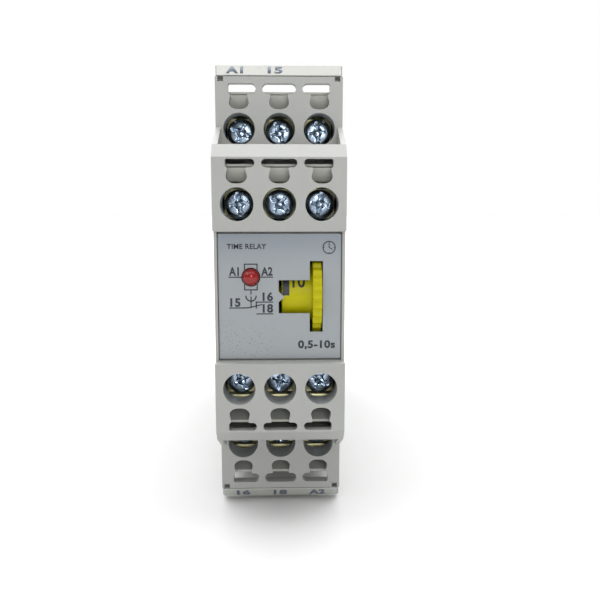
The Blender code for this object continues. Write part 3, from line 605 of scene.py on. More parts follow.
def soften(obj, width, segments=2, angle=35, cleanup=0.004 * MM):
    """Rounds the sharp edges and shades the faces smooth between them."""
    bm = bmesh.new()
    bm.from_mesh(obj.data)
    bmesh.ops.remove_doubles(bm, verts=bm.verts, dist=cleanup)
    bmesh.ops.dissolve_limit(bm, angle_limit=math.radians(0.5), verts=bm.verts, edges=bm.edges)
    bm.to_mesh(obj.data)
    bm.free()
    bevel = obj.modifiers.new("edges", "BEVEL")
    bevel.width = width
    bevel.segments = segments
    bevel.limit_method = "ANGLE"
    bevel.angle_limit = math.radians(angle)
    bevel.use_clamp_overlap = True
    bevel.harden_normals = True
    bevel.miter_outer = "MITER_ARC"
    settle(obj)


def shade(obj, angle=35):
    """Shades an object smooth, but for edges sharper than the angle in degrees."""
    obj.data.shade_smooth()
    obj.data.set_sharp_from_angle(angle=math.radians(angle))
    return obj


def dressed(obj, skin, body, replaced=()):
    """Gives a finished piece its material and body, and hides the nodes that it stands for."""
    obj.data.materials.clear()
    obj.data.materials.append(finish_for(skin))
    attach(obj, body)
    if replaced:
        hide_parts(*replaced)


def arc(centre, radius, start, end, steps):
    """Points along an arc, angles in degrees."""
    angles = [math.radians(start + (end - start) * step / steps) for step in range(steps + 1)]
    return [(centre[0] + radius * math.cos(turn), centre[1] + radius * math.sin(turn)) for turn in angles]


def rounded_box(left, right, bottom, top, corner):
    """Outline of a rectangle with rounded corners."""
    points = arc((right - corner, top - corner), corner, 0, 90, 5)
    points += arc((left + corner, top - corner), corner, 90, 180, 5)
    points += arc((left + corner, bottom + corner), corner, 180, 270, 5)
    return points + arc((right - corner, bottom + corner), corner, 270, 360, 5)


def terminal_rows():
    """Each terminal's name, x, plate depth, hole height, outward direction and lobe height."""
    group = settings("terminals")
    for end, sign in ENDS.items():
        for tier, depth, lobe in (("front", 0.0, group.front_lobe), ("deep", STRIP_DEPTH, group.deep_lobe)):
            for column in COLUMNS:
                name = f"{end}_{tier}_{column}"
                hole = middle(f"terminal_screw_{name}").z - MID_Z
                yield name, middle(f"clamp_plate_{name}").x, depth, hole, sign, lobe


def wire_slot(x, hole, sign, lobe):
    """Outline of a wire slot: a keyhole-shaped neck and a wide lobe beyond it."""
    group = settings("terminals")
    fillet = 0.25 * MM
    small = 0.3 * MM
    start, split = group.neck_start, group.lobe_start
    widest = start + 1.15 * MM
    side = []
    for step in range(9):
        turn = math.radians(90 * step / 8)
        side.append((group.belly * math.sin(turn) ** 0.8, widest - (widest - start) * math.cos(turn)))
    for step in range(1, 6):
        part = step / 5
        half = group.belly + (group.waist - group.belly) * (1 - math.cos(math.pi * part)) / 2
        side.append((half, widest + (split - fillet - widest) * part))
    side += [(group.waist + fillet - px, py) for px, py in arc((0, split - fillet), fillet, 0, 90, 4)][1:]

    def lobe_end(wall_side):
        half, corner = (group.lobe_outer, small) if wall_side else (group.lobe_half, lobe / 2)
        points = arc((half - corner, split + corner), corner, -90, 0, 6)
        return points + arc((half - corner, split + lobe - corner), corner, 0, 90, 6)

    right = side + lobe_end(x > 0)
    left = side + lobe_end(x < 0)
    across = right + [(-a, b) for a, b in reversed(left)][:-1]
    return [(x + a, hole + sign * b) for a, b in across]


# ---------------------------------------------------------------- shells


def front_shell():
    """The stepped front with its plates, cheeks, gussets and every opening."""
    shell = settings("shell")
    rim = LABEL_DEPTH - 0.25 * MM
    field_back = LABEL_DEPTH + 1.5 * MM
    seat = STRIP_BACK + 0.3 * MM
    shelf = seat + 1.2 * MM
    skirt = shell.rear_neck_half - 1.85 * MM
    slope = shell.block_half - shell.chamfer_rise
    body = outline(
        "front_shell",
        mirrored(
            [
                (rim, shell.label_half),
                (0.0, shell.label_half),
                (0.0, slope),
                (shell.chamfer_depth, shell.block_half),
                (STRIP_DEPTH, shell.block_half),
                (STRIP_DEPTH, STRIP_HALF - 0.12 * MM),
                (seat, STRIP_HALF - 0.12 * MM),
                (seat, FRONT_HALF),
                (shelf, FRONT_HALF),
                (shelf, skirt),
                (SHROUD_DEPTH, skirt),
            ]
        ),
        0.0,
        2 * HALF_WIDTH,
    )
    inner = STRIP_DEPTH + shell.plate
    wall = shell.label_half + 1.0 * MM
    inside = outline(
        "inside",
        mirrored(
            [
                (field_back, wall),
                (shell.plate, wall),
                (shell.plate, slope - 0.4 * MM),
                (shell.plate + 1.0 * MM, shell.block_half - shell.plate),
                (inner, shell.block_half - shell.plate),
                (inner, STRIP_HALF - 0.9 * MM),
                (shelf + 1 * MM, STRIP_HALF - 0.9 * MM),
                (SHROUD_DEPTH + MM, skirt + MM),
            ]
        ),
        0.0,
        2 * (HALF_WIDTH - shell.cheek),
    )
    boolean(body, [inside])

    gussets = []
    start, overlap = shell.chamfer_depth + 0.1 * MM, 0.3 * MM
    for end in ENDS.values():
        root, reach = shell.block_half - overlap, shell.block_half + shell.gusset
        points = [
            (start, end * root),
            (start, end * shell.block_half),
            (STRIP_DEPTH, end * reach),
            (STRIP_DEPTH + overlap, end * reach),
            (STRIP_DEPTH + overlap, end * root),
        ]
        for side in (-1, 1):
            centre = side * (HALF_WIDTH - 0.02 * MM - shell.cheek / 2)
            gussets.append(outline("gusset", points, centre, shell.cheek))
    boolean(body, gussets, "UNION")

    pocket = LABEL_DEPTH + 0.7 * MM
    across, up = HALF_WIDTH - 0.5 * MM, shell.label_half - 0.15 * MM
    cuts = [
        block("pocket", (-across, across), (0.0, pocket), (-up, up)),
        outline("wheel_opening", wheel_window(0.45 * MM, False), pocket, 3 * MM, "XZ"),
        rod("lamp_hole", Vector((LAMP.x, FRONT_Y + pocket, LAMP.z)), 1.8 * MM, 3 * MM, 32),
    ]
    notch = (STRIP_DEPTH - MM, inner + 0.15 * MM)
    for side in (-1, 1):
        for end in ENDS.values():
            outer = side * (HALF_WIDTH - 0.45 * MM)
            near = end * (STRIP_HALF - 0.95 * MM)
            cuts.append(block("notch", (outer, outer - side * MM), notch, (near, near + end * MM)))
    span = shell.plate + 2 * MM
    for _, x, depth, hole, sign, lobe in terminal_rows():
        centre = depth + shell.plate / 2
        cuts.append(rod("hole", at(x, centre, hole), shell.hole_radius, span))
        cuts.append(outline("slot", wire_slot(x, hole, sign, lobe), centre, span, "XZ"))
    boolean(body, cuts)
    soften(body, shell.edge)
    dressed(body, "shell", "housing", ["front_shroud"])


def hole_tunnels():
    """The short sleeves that run back from every screw hole."""
    shell = settings("shell")
    bm = bmesh.new()
    for _, x, depth, hole, _, _ in terminal_rows():
        ends = (at(x, depth + shell.plate + back, hole) for back in (-0.1 * MM, 3.2 * MM))
        loft(bm, [ring(bm, end, shell.hole_radius + 0.05 * MM, 48) for end in ends], (False, False))
    sleeves = object_of("hole_tunnels", bm)
    walls = sleeves.modifiers.new("walls", "SOLIDIFY")
    walls.thickness = 0.25 * MM
    walls.offset = 1.0
    settle(sleeves)
    dressed(shade(sleeves), "shell", "housing")


def wire_guides():
    """The sloping lips inside the upper wire slots, which lead a wire's end to its clamp."""
    shell, group = settings("shell"), settings("terminals")
    for name, x, depth, hole, sign, _ in terminal_rows():
        if sign < 0:
            continue
        near, far = depth + shell.plate + 0.35 * MM, depth + shell.plate + 1.75 * MM
        outer, inner = hole + group.lobe_start + 0.05 * MM, hole + group.neck_start + 0.42 * MM
        points = [(near, outer), (far, inner), (far + 0.35 * MM, inner), (near + 0.4 * MM, outer)]
        guide = outline(f"wire_guide_{name}", points, x, 2 * (group.belly + 0.35 * MM))
        soften(guide, 0.08 * MM)
        dressed(guide, "carrier", "housing")


def rear_shell():
    """The deep rear housing: vents, rail hook, latch channel and sunk side panels."""
    shell = settings("shell")
    neck = shell.rear_neck_half
    back = REAR_END - 4.7 * MM
    rail = 17.8 * MM
    lip = 1.8 * MM
    slot = back + 1.4 * MM
    pad = back + 0.3 * MM
    pad_half = rail - lip - 0.3 * MM
    body = outline(
        "rear_shell",
        [
            (REAR_START, neck),
            (shell.rear_neck_end, neck),
            (shell.rear_neck_end, REAR_HALF),
            (REAR_END, REAR_HALF),
            (REAR_END, rail - lip),
            (slot, rail - lip),
            (slot, rail),
            (back, rail),
            (back, pad_half),
            (pad, pad_half),
            (pad, -pad_half),
            (back, -pad_half),
            (back, -rail),
            (REAR_END, -rail),
            (REAR_END, -REAR_HALF),
            (shell.rear_neck_end, -REAR_HALF),
            (shell.rear_neck_end, -neck),
            (REAR_START, -neck),
        ],
        0.0,
        2 * HALF_WIDTH,
    )

    wall = 1.5 * MM
    cavity = mirrored(
        [
            (REAR_START - MM, neck - wall),
            (shell.rear_neck_end + wall, neck - wall),
            (shell.rear_neck_end + wall, REAR_HALF - wall),
            (back - wall, REAR_HALF - wall),
        ]
    )
    cuts = [outline("cavity", cavity, 0.0, 2 * (HALF_WIDTH - shell.cheek))]
    for end in ENDS.values():
        centre = end * (REAR_HALF - wall / 2)
        for index in range(5):
            start = (52 + 5 * index) * MM
            depth = (start, start + 1.6 * MM)
            cuts.append(block("vent", (-7 * MM, 7 * MM), depth, (centre - wall, centre + wall)))
    floor = back + 0.2 * MM
    for half, end in ((4.8 * MM, floor + 2.2 * MM), (3.3 * MM, REAR_END + MM)):
        cuts.append(block("channel", (-half, half), (floor, end), (-REAR_HALF - MM, -rail + MM)))
    recesses = [rounded_box(50 * MM, 88 * MM, -30 * MM, 30 * MM, 2 * MM)]
    for index in range(7):
        start = (24 + 2.4 * index) * MM
        for end in ENDS.values():
            bottom, top = sorted((end * 18 * MM, end * 32 * MM))
            recesses.append(rounded_box(start, start + MM, bottom, top, 0.45 * MM))
    sink, over = 0.25 * MM, 0.5 * MM
    for side in (-1, 1):
        centre = side * (HALF_WIDTH + (over - sink) / 2)
        cuts += [outline("recess", shape, centre, sink + over) for shape in recesses]
    boolean(body, cuts)
    post = -rail - 11.5 * MM
    post_depth = (floor - 0.3 * MM, floor + 2.6 * MM)
    boolean(body, [block("post", (-MM, MM), post_depth, (post, post + 1.2 * MM))], "UNION")
    soften(body, shell.edge)
    dressed(body, "shell", "housing", ["rear_housing"])


def latch():
    """The sliding latch, with finger ridges over its lower end."""
    box_low, box_high = low("rail_latch"), high("rail_latch")
    start, end = box_low.y - FRONT_Y, box_high.y - FRONT_Y
    bottom = box_low.z - MID_Z
    top = box_high.z - MID_Z
    root = top - 2.1 * MM
    base = block("latch_slide", (box_low.x, box_high.x), (start, start + 1.6 * MM), (bottom, root))
    neck = block("neck", (-3 * MM, 3 * MM), (start, end), (bottom, root))
    tongue = outline(
        "tongue",
        [
            (end - 3.1 * MM, root - 1.7 * MM),
            (end, root - 1.7 * MM),
            (end, top - 1.2 * MM),
            (end - 1.2 * MM, top),
            (end - 3.1 * MM, top),
        ],
        0.0,
        6 * MM,
    )
    boolean(base, [neck, tongue], "UNION")
    window_low = low("rail_latch_spring").z - MID_Z - 2.0 * MM
    window_high = high("rail_latch_spring").z - MID_Z + 0.3 * MM
    notch = (bottom - MM, bottom + 2.5 * MM)
    cuts = [
        block("window", (-1.7 * MM, 1.7 * MM), (start - MM, end - 0.7 * MM), (window_low, window_high)),
        block("notch", (-1.6 * MM, 1.6 * MM), (start - MM, end - 1.2 * MM), notch),
    ]
    for index in range(4):
        low_edge = bottom + (4.2 + 1.1 * index) * MM
        groove = (low_edge, low_edge + 0.5 * MM)
        cuts.append(block("groove", (-4 * MM, 4 * MM), (end - 0.3 * MM, end + MM), groove))
    boolean(base, cuts)
    soften(base, 0.12 * MM)
    dressed(base, "shell", "rail_latch", ["rail_latch"])


def latch_spring():
    """The compression spring behind the latch."""
    near, far = low("rail_latch_spring"), high("rail_latch_spring")
    wire, turns, steps = 0.2 * MM, 6, 24
    closed_pitch = 2.1 * wire
    radius = (far.x - near.x) / 2 - wire
    axis = (near + far) / 2
    open_length = far.z - near.z - 2 * wire - 2 * closed_pitch
    curve = bpy.data.curves.new("spring_path", "CURVE")
    curve.dimensions = "3D"
    curve.bevel_depth = wire
    curve.bevel_resolution = 2
    curve.use_fill_caps = True
    path = curve.splines.new("POLY")
    path.points.add(turns * steps)
    for k, point in enumerate(path.points):
        turn = k / steps
        rise = closed_pitch * (min(turn, 1.0) + max(0.0, turn - (turns - 1)))
        rise += open_length * min(max((turn - 1) / (turns - 2), 0.0), 1.0)
        angle = 2 * math.pi * turn
        x, y = axis.x + radius * math.cos(angle), axis.y + radius * math.sin(angle)
        point.co = (x, y, near.z + wire + rise, 1.0)
    spring = linked("latch_spring", mesh_of_curve(curve))
    shade(spring, 50)
    dressed(spring, "steel", "housing", ["rail_latch_spring"])
    slide = next(joint for joint in frame["joints"] if joint["name"] == "rail_latch_slide")
    keep = 1 - max(slide["range_m"]) / (far.z - near.z)
    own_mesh(spring)


def marker_strips():
    """The sloping strips at both ends, with the terminal numbers printed on them."""
    group = settings("label")
    numbers = {"upper": ("A1", "15", ""), "lower": ("16", "18", "A2")}
    inner, outer = STRIP_HALF, FRONT_HALF
    foot, toe = 0.12 * MM, STRIP_BACK - 0.25 * MM
    rise, run = outer - inner - foot, toe - STRIP_DEPTH
    for end, sign in ENDS.items():
        node = f"marker_strip_{end}"
        points = [
            (STRIP_DEPTH + 0.05 * MM, sign * inner),
            (STRIP_DEPTH, sign * (inner + foot)),
            (toe, sign * outer),
            (STRIP_BACK, sign * outer),
            (STRIP_BACK, sign * inner),
        ]
        strip = outline(f"strip_{end}", points, 0.0, high(node).x - low(node).x)
        soften(strip, 0.10 * MM)
        dressed(strip, "strip", "housing", [node])

        centre = at(0, STRIP_DEPTH + run / 2 - 0.01 * MM, sign * (inner + foot + rise / 2))
        tilt = Matrix.Translation(centre) @ Matrix.Rotation(-sign * math.atan2(run, rise), 4, "X")
        bm = bmesh.new()
        for column, text in zip(COLUMNS, numbers[end]):
            if not text:
                continue
            x = middle(f"clamp_plate_{end}_deep_{column}").x - (0.7 if sign > 0 else 0.1) * MM
            half, up = (1.5 if "A" in text else 1.3) * MM, 0.8 * MM
            printed(bm, text, (x - half, x + half), (-up, up), 0.0, group.ink_proud, 0.045, tilt)
        dressed(object_of(f"strip_numbers_{end}", bm), "strip_ink", "housing")


# ---------------------------------------------------------------- label


def printed(bm, text, x, z, y, proud, weight=0.03, place=None):
    """Adds raised lettering that fills the box x by z on the plane y."""
    curve = bpy.data.curves.new("letters", "FONT")
    curve.body = text
    curve.offset = weight
    curve.space_character = 1.0 + 2.2 * weight
    curve.resolution_u = 5
    mesh = mesh_of_curve(curve)
    xs = [vert.co.x for vert in mesh.vertices]
    ys = [vert.co.y for vert in mesh.vertices]
    for vert in mesh.vertices:
        across = (vert.co.x - min(xs)) / (max(xs) - min(xs))
        up = (vert.co.y - min(ys)) / (max(ys) - min(ys))
        vert.co = Vector((x[0] + across * (x[1] - x[0]), y - proud, z[0] + up * (z[1] - z[0])))
    place = place or Matrix()
    mesh.transform(place)
    letters = bmesh.new()
    letters.from_mesh(mesh)
    bmesh.ops.remove_doubles(letters, verts=letters.verts, dist=0.001 * MM)
    solid = bmesh.ops.extrude_face_region(letters, geom=letters.faces[:])["geom"]
    push = place.to_3x3() @ Vector((0, proud * 1.5, 0))
    bmesh.ops.translate(letters, vec=push, verts=vertices_in(solid))
    letters.to_mesh(mesh)
    letters.free()
    bm.from_mesh(mesh)
    bpy.data.meshes.remove(mesh)


def stroke(bm, points, width, y, proud):
    """Adds a printed line through the points, as one short block to each stretch."""
    for (ax, az), (bx, bz) in zip(points, points[1:]):
        run = Vector((bx - ax, 0, bz - az))
        centre = Vector(((ax + bx) / 2, y - proud / 2, (az + bz) / 2))
        turn = Matrix.Rotation(-math.atan2(run.z, run.x), 4, "Y")
        size = Matrix.Diagonal((run.length + width * 0.9, proud * 1.5, width, 1))
        bmesh.ops.create_cube(bm, size=1, matrix=Matrix.Translation(centre) @ turn @ size)


def wheel_window(clearance, pointer=True):
    """The label's opening for the time wheel, with the pointer on its left edge."""
    left, half = -0.2 * MM - clearance, 2.9 * MM + clearance
    slot_left, slot_right, slot_half = 5.2 * MM - clearance, 7.45 * MM + clearance, 6.2 * MM + clearance
    points = [
        (left, -half),
        (slot_left, -half),
        (slot_left, -slot_half),
        (slot_right, -slot_half),
        (slot_right, slot_half),
        (slot_left, slot_half),
        (slot_left, half),
        (left, half),
    ]
    if pointer:
        points += [(left, 0.93 * MM), (left + 1.0 * MM, 0.0), (left, -0.93 * MM)]
    return points


def label_plate():
    """The film-covered label plate, open over the wheel and the lamp."""
    near, far = low("label_plate"), high("label_plate")
    thick = far.y - near.y
    shape = rounded_box(near.x, far.x, near.z - MID_Z, far.z - MID_Z, 0.25 * MM)
    plate = outline("label_face", shape, LABEL_DEPTH + thick / 2, thick, "XZ")
    window = outline("window", wheel_window(0.0), LABEL_DEPTH, 4 * thick, "XZ")
    boolean(plate, [window, rod("lamp_hole", Vector((LAMP.x, LABEL_Y, LAMP.z)), 1.62 * MM, 4 * thick, 48)])
    soften(plate, 0.05 * MM)
    dressed(plate, "film", "housing", ["label_plate"])


def label_printing():
    """Circuit symbols, terminal numbers and the time range, printed on the label."""
    group = settings("label")
    y, proud, line = LABEL_Y, group.ink_proud, group.line
    bm = bmesh.new()

    def draw(*points, width=line):
        stroke(bm, [(x * MM, MID_Z + z * MM) for x, z in points], width, y, proud)

    def write(text, x0, x1, z0, z1, weight=0.035):
        printed(bm, text, (x0 * MM, x1 * MM), (MID_Z + z0 * MM, MID_Z + z1 * MM), y, proud, weight)

    lamp_x, lamp_z = LAMP.x / MM, (LAMP.z - MID_Z) / MM
    coil = 1.08
    draw((lamp_x - coil, lamp_z + 2.25), (lamp_x + coil, lamp_z + 2.25), (lamp_x + coil, lamp_z - 2.2))
    draw((lamp_x + coil, lamp_z - 2.2), (lamp_x - coil, lamp_z - 2.2), (lamp_x - coil, lamp_z + 2.25))
    draw((-8.75, lamp_z), (lamp_x - coil, lamp_z))
    draw((lamp_x + coil, lamp_z), (-1.25, lamp_z))
    write("A1", -8.75, -7.05, lamp_z + 0.24, lamp_z + 1.75)
    write("A2", -3.2, -1.25, lamp_z + 0.24, lamp_z + 1.75)
    draw((lamp_x, 1.05), (lamp_x, 0.5))
    draw(*arc((lamp_x, 0.15), 0.88, 180, 360, 12))
    draw((lamp_x, 0.0), (lamp_x, -1.75))
    draw((-8.7, -1.92), (-6.1, -1.92), (-5.2, -1.85), (-3.2, -1.35))
    write("15", -8.6, -6.85, -1.72, -0.22)
    write("16", -3.0, -1.2, -0.72, 0.82)
    write("18", -3.0, -1.2, -2.78, -1.24)
    draw((-1.25, -0.9), (-4.1, -0.9), (-4.1, -1.95))
    draw((-4.0, -2.98), (-1.25, -2.98))
    write("0,5-10s", 3.15, 9.65, -9.35, -7.72)
    write("TIME RELAY", -9.05, -2.3, 8.3, 9.2, 0.022)
    clock_x, clock_z, radius = 8.5, 8.55, 1.05
    draw(*arc((clock_x, clock_z), radius, 0, 360, 28), width=0.16 * MM)
    draw((clock_x, clock_z + 0.68), (clock_x, clock_z), (clock_x + 0.52, clock_z - 0.28), width=0.15 * MM)
    for quarter in range(4):
        turn = math.radians(90 * quarter)
        mark = [(clock_x + far * math.cos(turn), clock_z + far * math.sin(turn)) for far in (0.84, radius)]
        draw(*mark, width=0.12 * MM)
    dressed(object_of("label_printing", bm), "ink", "housing")


# ---------------------------------------------------------------- terminals

SCREW_TURNS = {
    "upper_front": (82, 40, 100),
    "upper_deep": (25, 70, 85),
    "lower_front": (60, 105, 30),
    "lower_deep": (15, 95, 50),
}


def screw_head(radius, height):
    """A pan head with a slot and a cross recess; the middle of its face is at the origin."""
    crown, dish = 0.7 * radius, 0.05 * MM
    profile = [(0.6 * crown, 0.0), (crown, dish)]
    for turn in map(math.radians, (20, 40, 60, 80, 90)):
        drop = dish + 0.85 * MM * (1 - math.cos(turn))
        profile.append((crown + (radius - crown) * math.sin(turn), drop))
    profile += [(radius, height - 0.1 * MM), (radius - 0.1 * MM, height)]
    bm = bmesh.new()
    loft(bm, [ring(bm, Vector((0, depth, 0)), r, 64) for r, depth in profile])
    head = object_of("head", bm)
    cuts = []
    for wide, tall, deep in ((4.3, 0.72, 0.62), (3.0, 0.62, 1.25), (0.62, 3.0, 1.25)):
        x, z = wide / 2 * MM, tall / 2 * MM
        cuts.append(block("recess", (-x, x), (-MM, deep * MM), (-z, z)))
        cuts[-1].data.transform(Matrix.Translation(-at(0, 0, 0)))
    cuts.append(rod("cone", Vector((0, 0.55 * MM, 0)), 0.98 * MM, 2.2 * MM, 24, 0.35 * MM))
    boolean(head, cuts)
    soften(head, 0.045 * MM, 2, 40, 0.001 * MM)
    return head


def screw_thread(core, start):
    """One long groove and ridge wound round Y, from start backwards."""
    turns, steps, pitch = 11, 20, 0.5 * MM
    bm = bmesh.new()
    rows = []
    for k in range(turns * steps + 1):
        angle = 2 * math.pi * k / steps
        base = start + pitch * k / steps
        ridge = ((core, 0.0), (1.33 * MM, 0.5), (core, 1.0))
        points = [(r * math.cos(angle), base + lift * pitch, r * math.sin(angle)) for r, lift in ridge]
        rows.append([bm.verts.new(point) for point in points])
    for first, second in zip(rows, rows[1:]):
        bm.faces.new((first[0], second[0], second[1], first[1]))
        bm.faces.new((first[1], second[1], second[2], first[2]))
    return object_of("thread", bm)


def screw_mesh(radius):
    """The mesh that the twelve screws share, with its head's face at the origin."""
    height, core = 2.2 * MM, 1.1 * MM
    pieces = [
        screw_head(radius, height),
        screw_thread(core, height - 0.05 * MM),
        rod("core", Vector((0, height + 3 * MM, 0)), core + 0.02 * MM, 6 * MM, 24),
    ]
    merged = bmesh.new()
    for piece in pieces:
        merged.from_mesh(piece.data)
        bpy.data.objects.remove(piece)
    mesh = bpy.data.meshes.new("terminal_screw")
    merged.to_mesh(mesh)
    merged.free()
    mesh.materials.append(finish_for("zinc"))
    mesh.shade_smooth()
    mesh.set_sharp_from_angle(angle=math.radians(32))
    return mesh


def screws():
    """The twelve terminal screws, each left at a turn of its own."""
    mesh = screw_mesh(settings("shell").hole_radius - 0.2 * MM)
    for row, turns in SCREW_TURNS.items():
        for column, turn in zip(COLUMNS, turns):
            node = f"terminal_screw_{row}_{column}"
            screw = linked(f"screw_{row}_{column}", mesh)
            centre = middle(node)
            screw.location = (centre.x, low(node).y, centre.z)
            screw.rotation_euler = (0, math.radians(turn), 0)
            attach(screw, f"screw_{row}_{column}")
            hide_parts(node)


def clamp_plates():
    """Stamped clamp plates: turned-up outer edge and a clearance hole."""
    for name, x, _, hole, sign, _ in terminal_rows():
        node = f"clamp_plate_{name}"
        near, far = low(node), high(node)
        front, back = near.y - FRONT_Y, far.y - FRONT_Y
        ends = (near.z - MID_Z, far.z - MID_Z)
        outer, inner = (ends[1], ends[0]) if sign > 0 else ends
        points = [
            (front + 0.5 * MM, inner),
            (front + 0.5 * MM, outer - sign * 1.3 * MM),
            (front + 0.08 * MM, outer - sign * 0.75 * MM),
            (front, outer - sign * 0.45 * MM),
            (front + 0.05 * MM, outer),
            (back, outer),
            (back, inner),
        ]
        plate = outline(f"clamp_{name}_plate", points, (near.x + far.x) / 2, far.x - near.x)
        boolean(plate, [rod("hole", at(x, (front + back) / 2, hole), 1.6 * MM, 6 * MM, 32)])
        soften(plate, 0.12 * MM)
        dressed(plate, "brass", f"clamp_{name}", [node])


# ---------------------------------------------------------------- wheel and lamp


def revolved(bm, profile, sides, radius_at=None):
    """Adds a solid turned about X through the origin from (x, radius) points."""
    rings = []
    for x, radius in profile:
        rings.append([])
        for turn in (2 * math.pi * k / sides for k in range(sides)):
            r = radius if radius_at is None else radius_at(radius, turn)
            rings[-1].append(bm.verts.new((x, -r * math.cos(turn), r * math.sin(turn))))
    loft(bm, rings)


def wheel_body():
    """The ribbed rim, the scale drum and the shaft."""
    group = settings("wheel")
    edge = 0.22 * MM
    rim, left, right = group.rim_radius, group.rim_left, group.rim_right
    drum, start = group.drum_radius, group.drum_left

    def ribbed(radius, turn):
        groove = (0.5 - 0.5 * math.cos(group.ribs * turn)) ** 1.3
        return radius - group.rib_height * groove * max(0.0, (radius - rim * 0.9) / (rim * 0.1))

    bends = [(math.sin(turn), math.cos(turn)) for turn in map(math.radians, (0, 30, 60, 90))]
    profile = [(left, rim * 0.55), (left, rim * 0.86), (left + 0.02 * MM, rim * 0.93)]
    profile += [(left + edge * (1 - down), rim - edge * (1 - up)) for up, down in bends]
    profile += [(right - edge * (1 - up), rim - edge * (1 - down)) for up, down in bends]
    profile += [(right - 0.02 * MM, rim * 0.93), (right, rim * 0.86), (right, rim * 0.55)]
    bm = bmesh.new()
    revolved(bm, profile, group.ribs * 10, ribbed)
    corner, end = 0.15 * MM, left + 0.3 * MM
    hub = drum * 0.3
    profile = [(start, hub), (start, drum - corner), (start + corner, drum), (end, drum), (end, hub)]
    revolved(bm, profile, 96)
    shaft = 1.2 * MM
    revolved(bm, [(low("time_wheel").x, shaft), (high("time_wheel").x, shaft)], 32)
    return object_of("scale_wheel", bm)


def wheel_scale():
    """Numbers and a dark band, drawn flat and then rolled round the drum."""
    drum, proud = settings("wheel").drum_radius, settings("label").ink_proud
    bm = bmesh.new()
    column, rise = 3.3 * MM, 1.15 * MM
    for text, turn in (("10", 28), ("6", -47), ("3", -122), ("1", -197)):
        half = (1.1 if len(text) > 1 else 0.5) * MM
        centre = math.radians(turn) * drum
        printed(bm, text, (column - half, column + half), (centre - rise, centre + rise), 0.0, proud, 0.02)
    first, last, steps = 1.6, 70.0, 40
    sides = (settings("wheel").drum_left + 0.16 * MM, 1.66 * MM)
    band = []
    for k in range(steps + 1):
        along = math.radians(first + (last - first) * k / steps) * drum
        band.append([bm.verts.new((x, -proud, along)) for x in sides])
    for one, two in zip(band, band[1:]):
        bm.faces.new((one[0], one[1], two[1], two[0]))
    long_edges = [edge for edge in bm.edges if edge.calc_length() > 0.6 * MM]
    bmesh.ops.subdivide_edges(bm, edges=long_edges, cuts=2)
    for vert in bm.verts:
        along, out = vert.co.z / drum, drum - vert.co.y
        vert.co = Vector((vert.co.x, -out * math.cos(along), out * math.sin(along)))
    return object_of("wheel_scale", bm)


def time_wheel():
    """The time wheel and its printed scale, which turn together."""
    wheel, scale = wheel_body(), wheel_scale()
    for piece in (wheel, scale):
        piece.location = (0, WHEEL_Y, MID_Z)
    dressed(shade(wheel, 40), "yellow", "time_wheel", ["time_wheel"])
    dressed(scale, "ink", "time_wheel")


def lamp():
    """The round lamp: a domed lens with a flange, and its two leads."""
    tip, end = low("status_lamp").y, high("status_lamp").y
    radius, flange, sides = 1.5 * MM, 1.8 * MM, 48
    profile = []
    for turn in map(math.radians, range(6, 91, 7)):
        profile.append((radius * math.sin(turn), 0.9 * radius * (1 - math.cos(turn))))
    profile += [(radius, 4.9 * MM), (flange, 5.0 * MM), (flange, 5.55 * MM)]
    bm = bmesh.new()
    rings = [ring(bm, Vector((0, depth, 0)), r, sides) for r, depth in profile]
    loft(bm, rings, (False, True))
    point = bm.verts.new((0, 0, 0))
    for k in range(sides):
        bm.faces.new((point, rings[0][(k + 1) % sides], rings[0][k]))
    dome = object_of("lamp_lens", bm)
    dome.location = (LAMP.x, tip, LAMP.z)
    dressed(shade(dome, 50), "lens", "housing", ["status_lamp"])
    start = tip + 5.5 * MM
    for side, name in ((-1, "lamp_lead_left"), (1, "lamp_lead_right")):
        centre = Vector((LAMP.x + side * 0.9 * MM, (start + end) / 2, LAMP.z))
        lead = rod(name, centre, 0.25 * MM, end - start, 12)
        dressed(shade(lead), "steel", "housing")


# ---------------------------------------------------------------- inner parts

NODE_FINISHES = {
    "carrier": ("terminal_carrier_upper", "terminal_carrier_lower", "wheel_post"),
    "black": ("potentiometer", "timing_chip", "relay_base"),
    "board": ("front_board", "terminal_board_upper", "terminal_board_lower", "main_board"),
    "steel": ("relay_yoke", "relay_armature"),
    "copper": ("relay_coil",),
    "spring_copper": ("relay_contact_blade",),
    "sleeve": ("filter_capacitor",),
}


def inner_parts():
    """Finishes for the frame's own pieces behind the shells."""
    skins = {node: skin for skin, nodes in NODE_FINISHES.items() for node in nodes}
    for node, obj in frame["nodes"].items():
        skin = "brass" if node.startswith("terminal_bar_") else skins.get(node)
        if skin:
            obj.data.materials.clear()
            obj.data.materials.append(finish_for(skin))


# ---------------------------------------------------------------- stage


def softbox(name, place, aim, size, power):
    """A square area light that faces the point it is aimed at."""
    data = bpy.data.lights.new(name, "AREA")
    data.shape = "SQUARE"
    data.size = size
    data.energy = power
    light = linked(name, data)
    light.location = place
    light.rotation_euler = (Vector(aim) - Vector(place)).to_track_quat("-Z", "Y").to_euler()


def studio_light():
    """A white surround, brighter straight above and dimmer on the front's side."""
    group = settings("stage")
    world = bpy.data.worlds.new("studio")
    world.use_nodes = True
    nodes = Nodes(world.node_tree)
    climb = nodes.coordinate("Generated", "Z").mapped(0.42, 0.85, 1.0, group.zenith, "SMOOTHSTEP")
    side = nodes.coordinate("Generated", "Y").mapped(-0.35, 0.05, group.front_light, 1.0)
    background = world.node_tree.nodes["Background"].inputs
    nodes.feed(background["Color"], (1.0, 1.0, 1.0))
    nodes.feed(background["Strength"], climb * side)
    bpy.context.scene.world = world
    bpy.context.scene.view_settings.view_transform = "Standard"
    aim = (0, 0, MID_Z)
    softbox("left_box", (-0.5, -0.4, 0.5), aim, 0.3, 0.6)
    softbox("front_box", (0.05, -0.45, 0.16), aim, 0.12, 0.35)


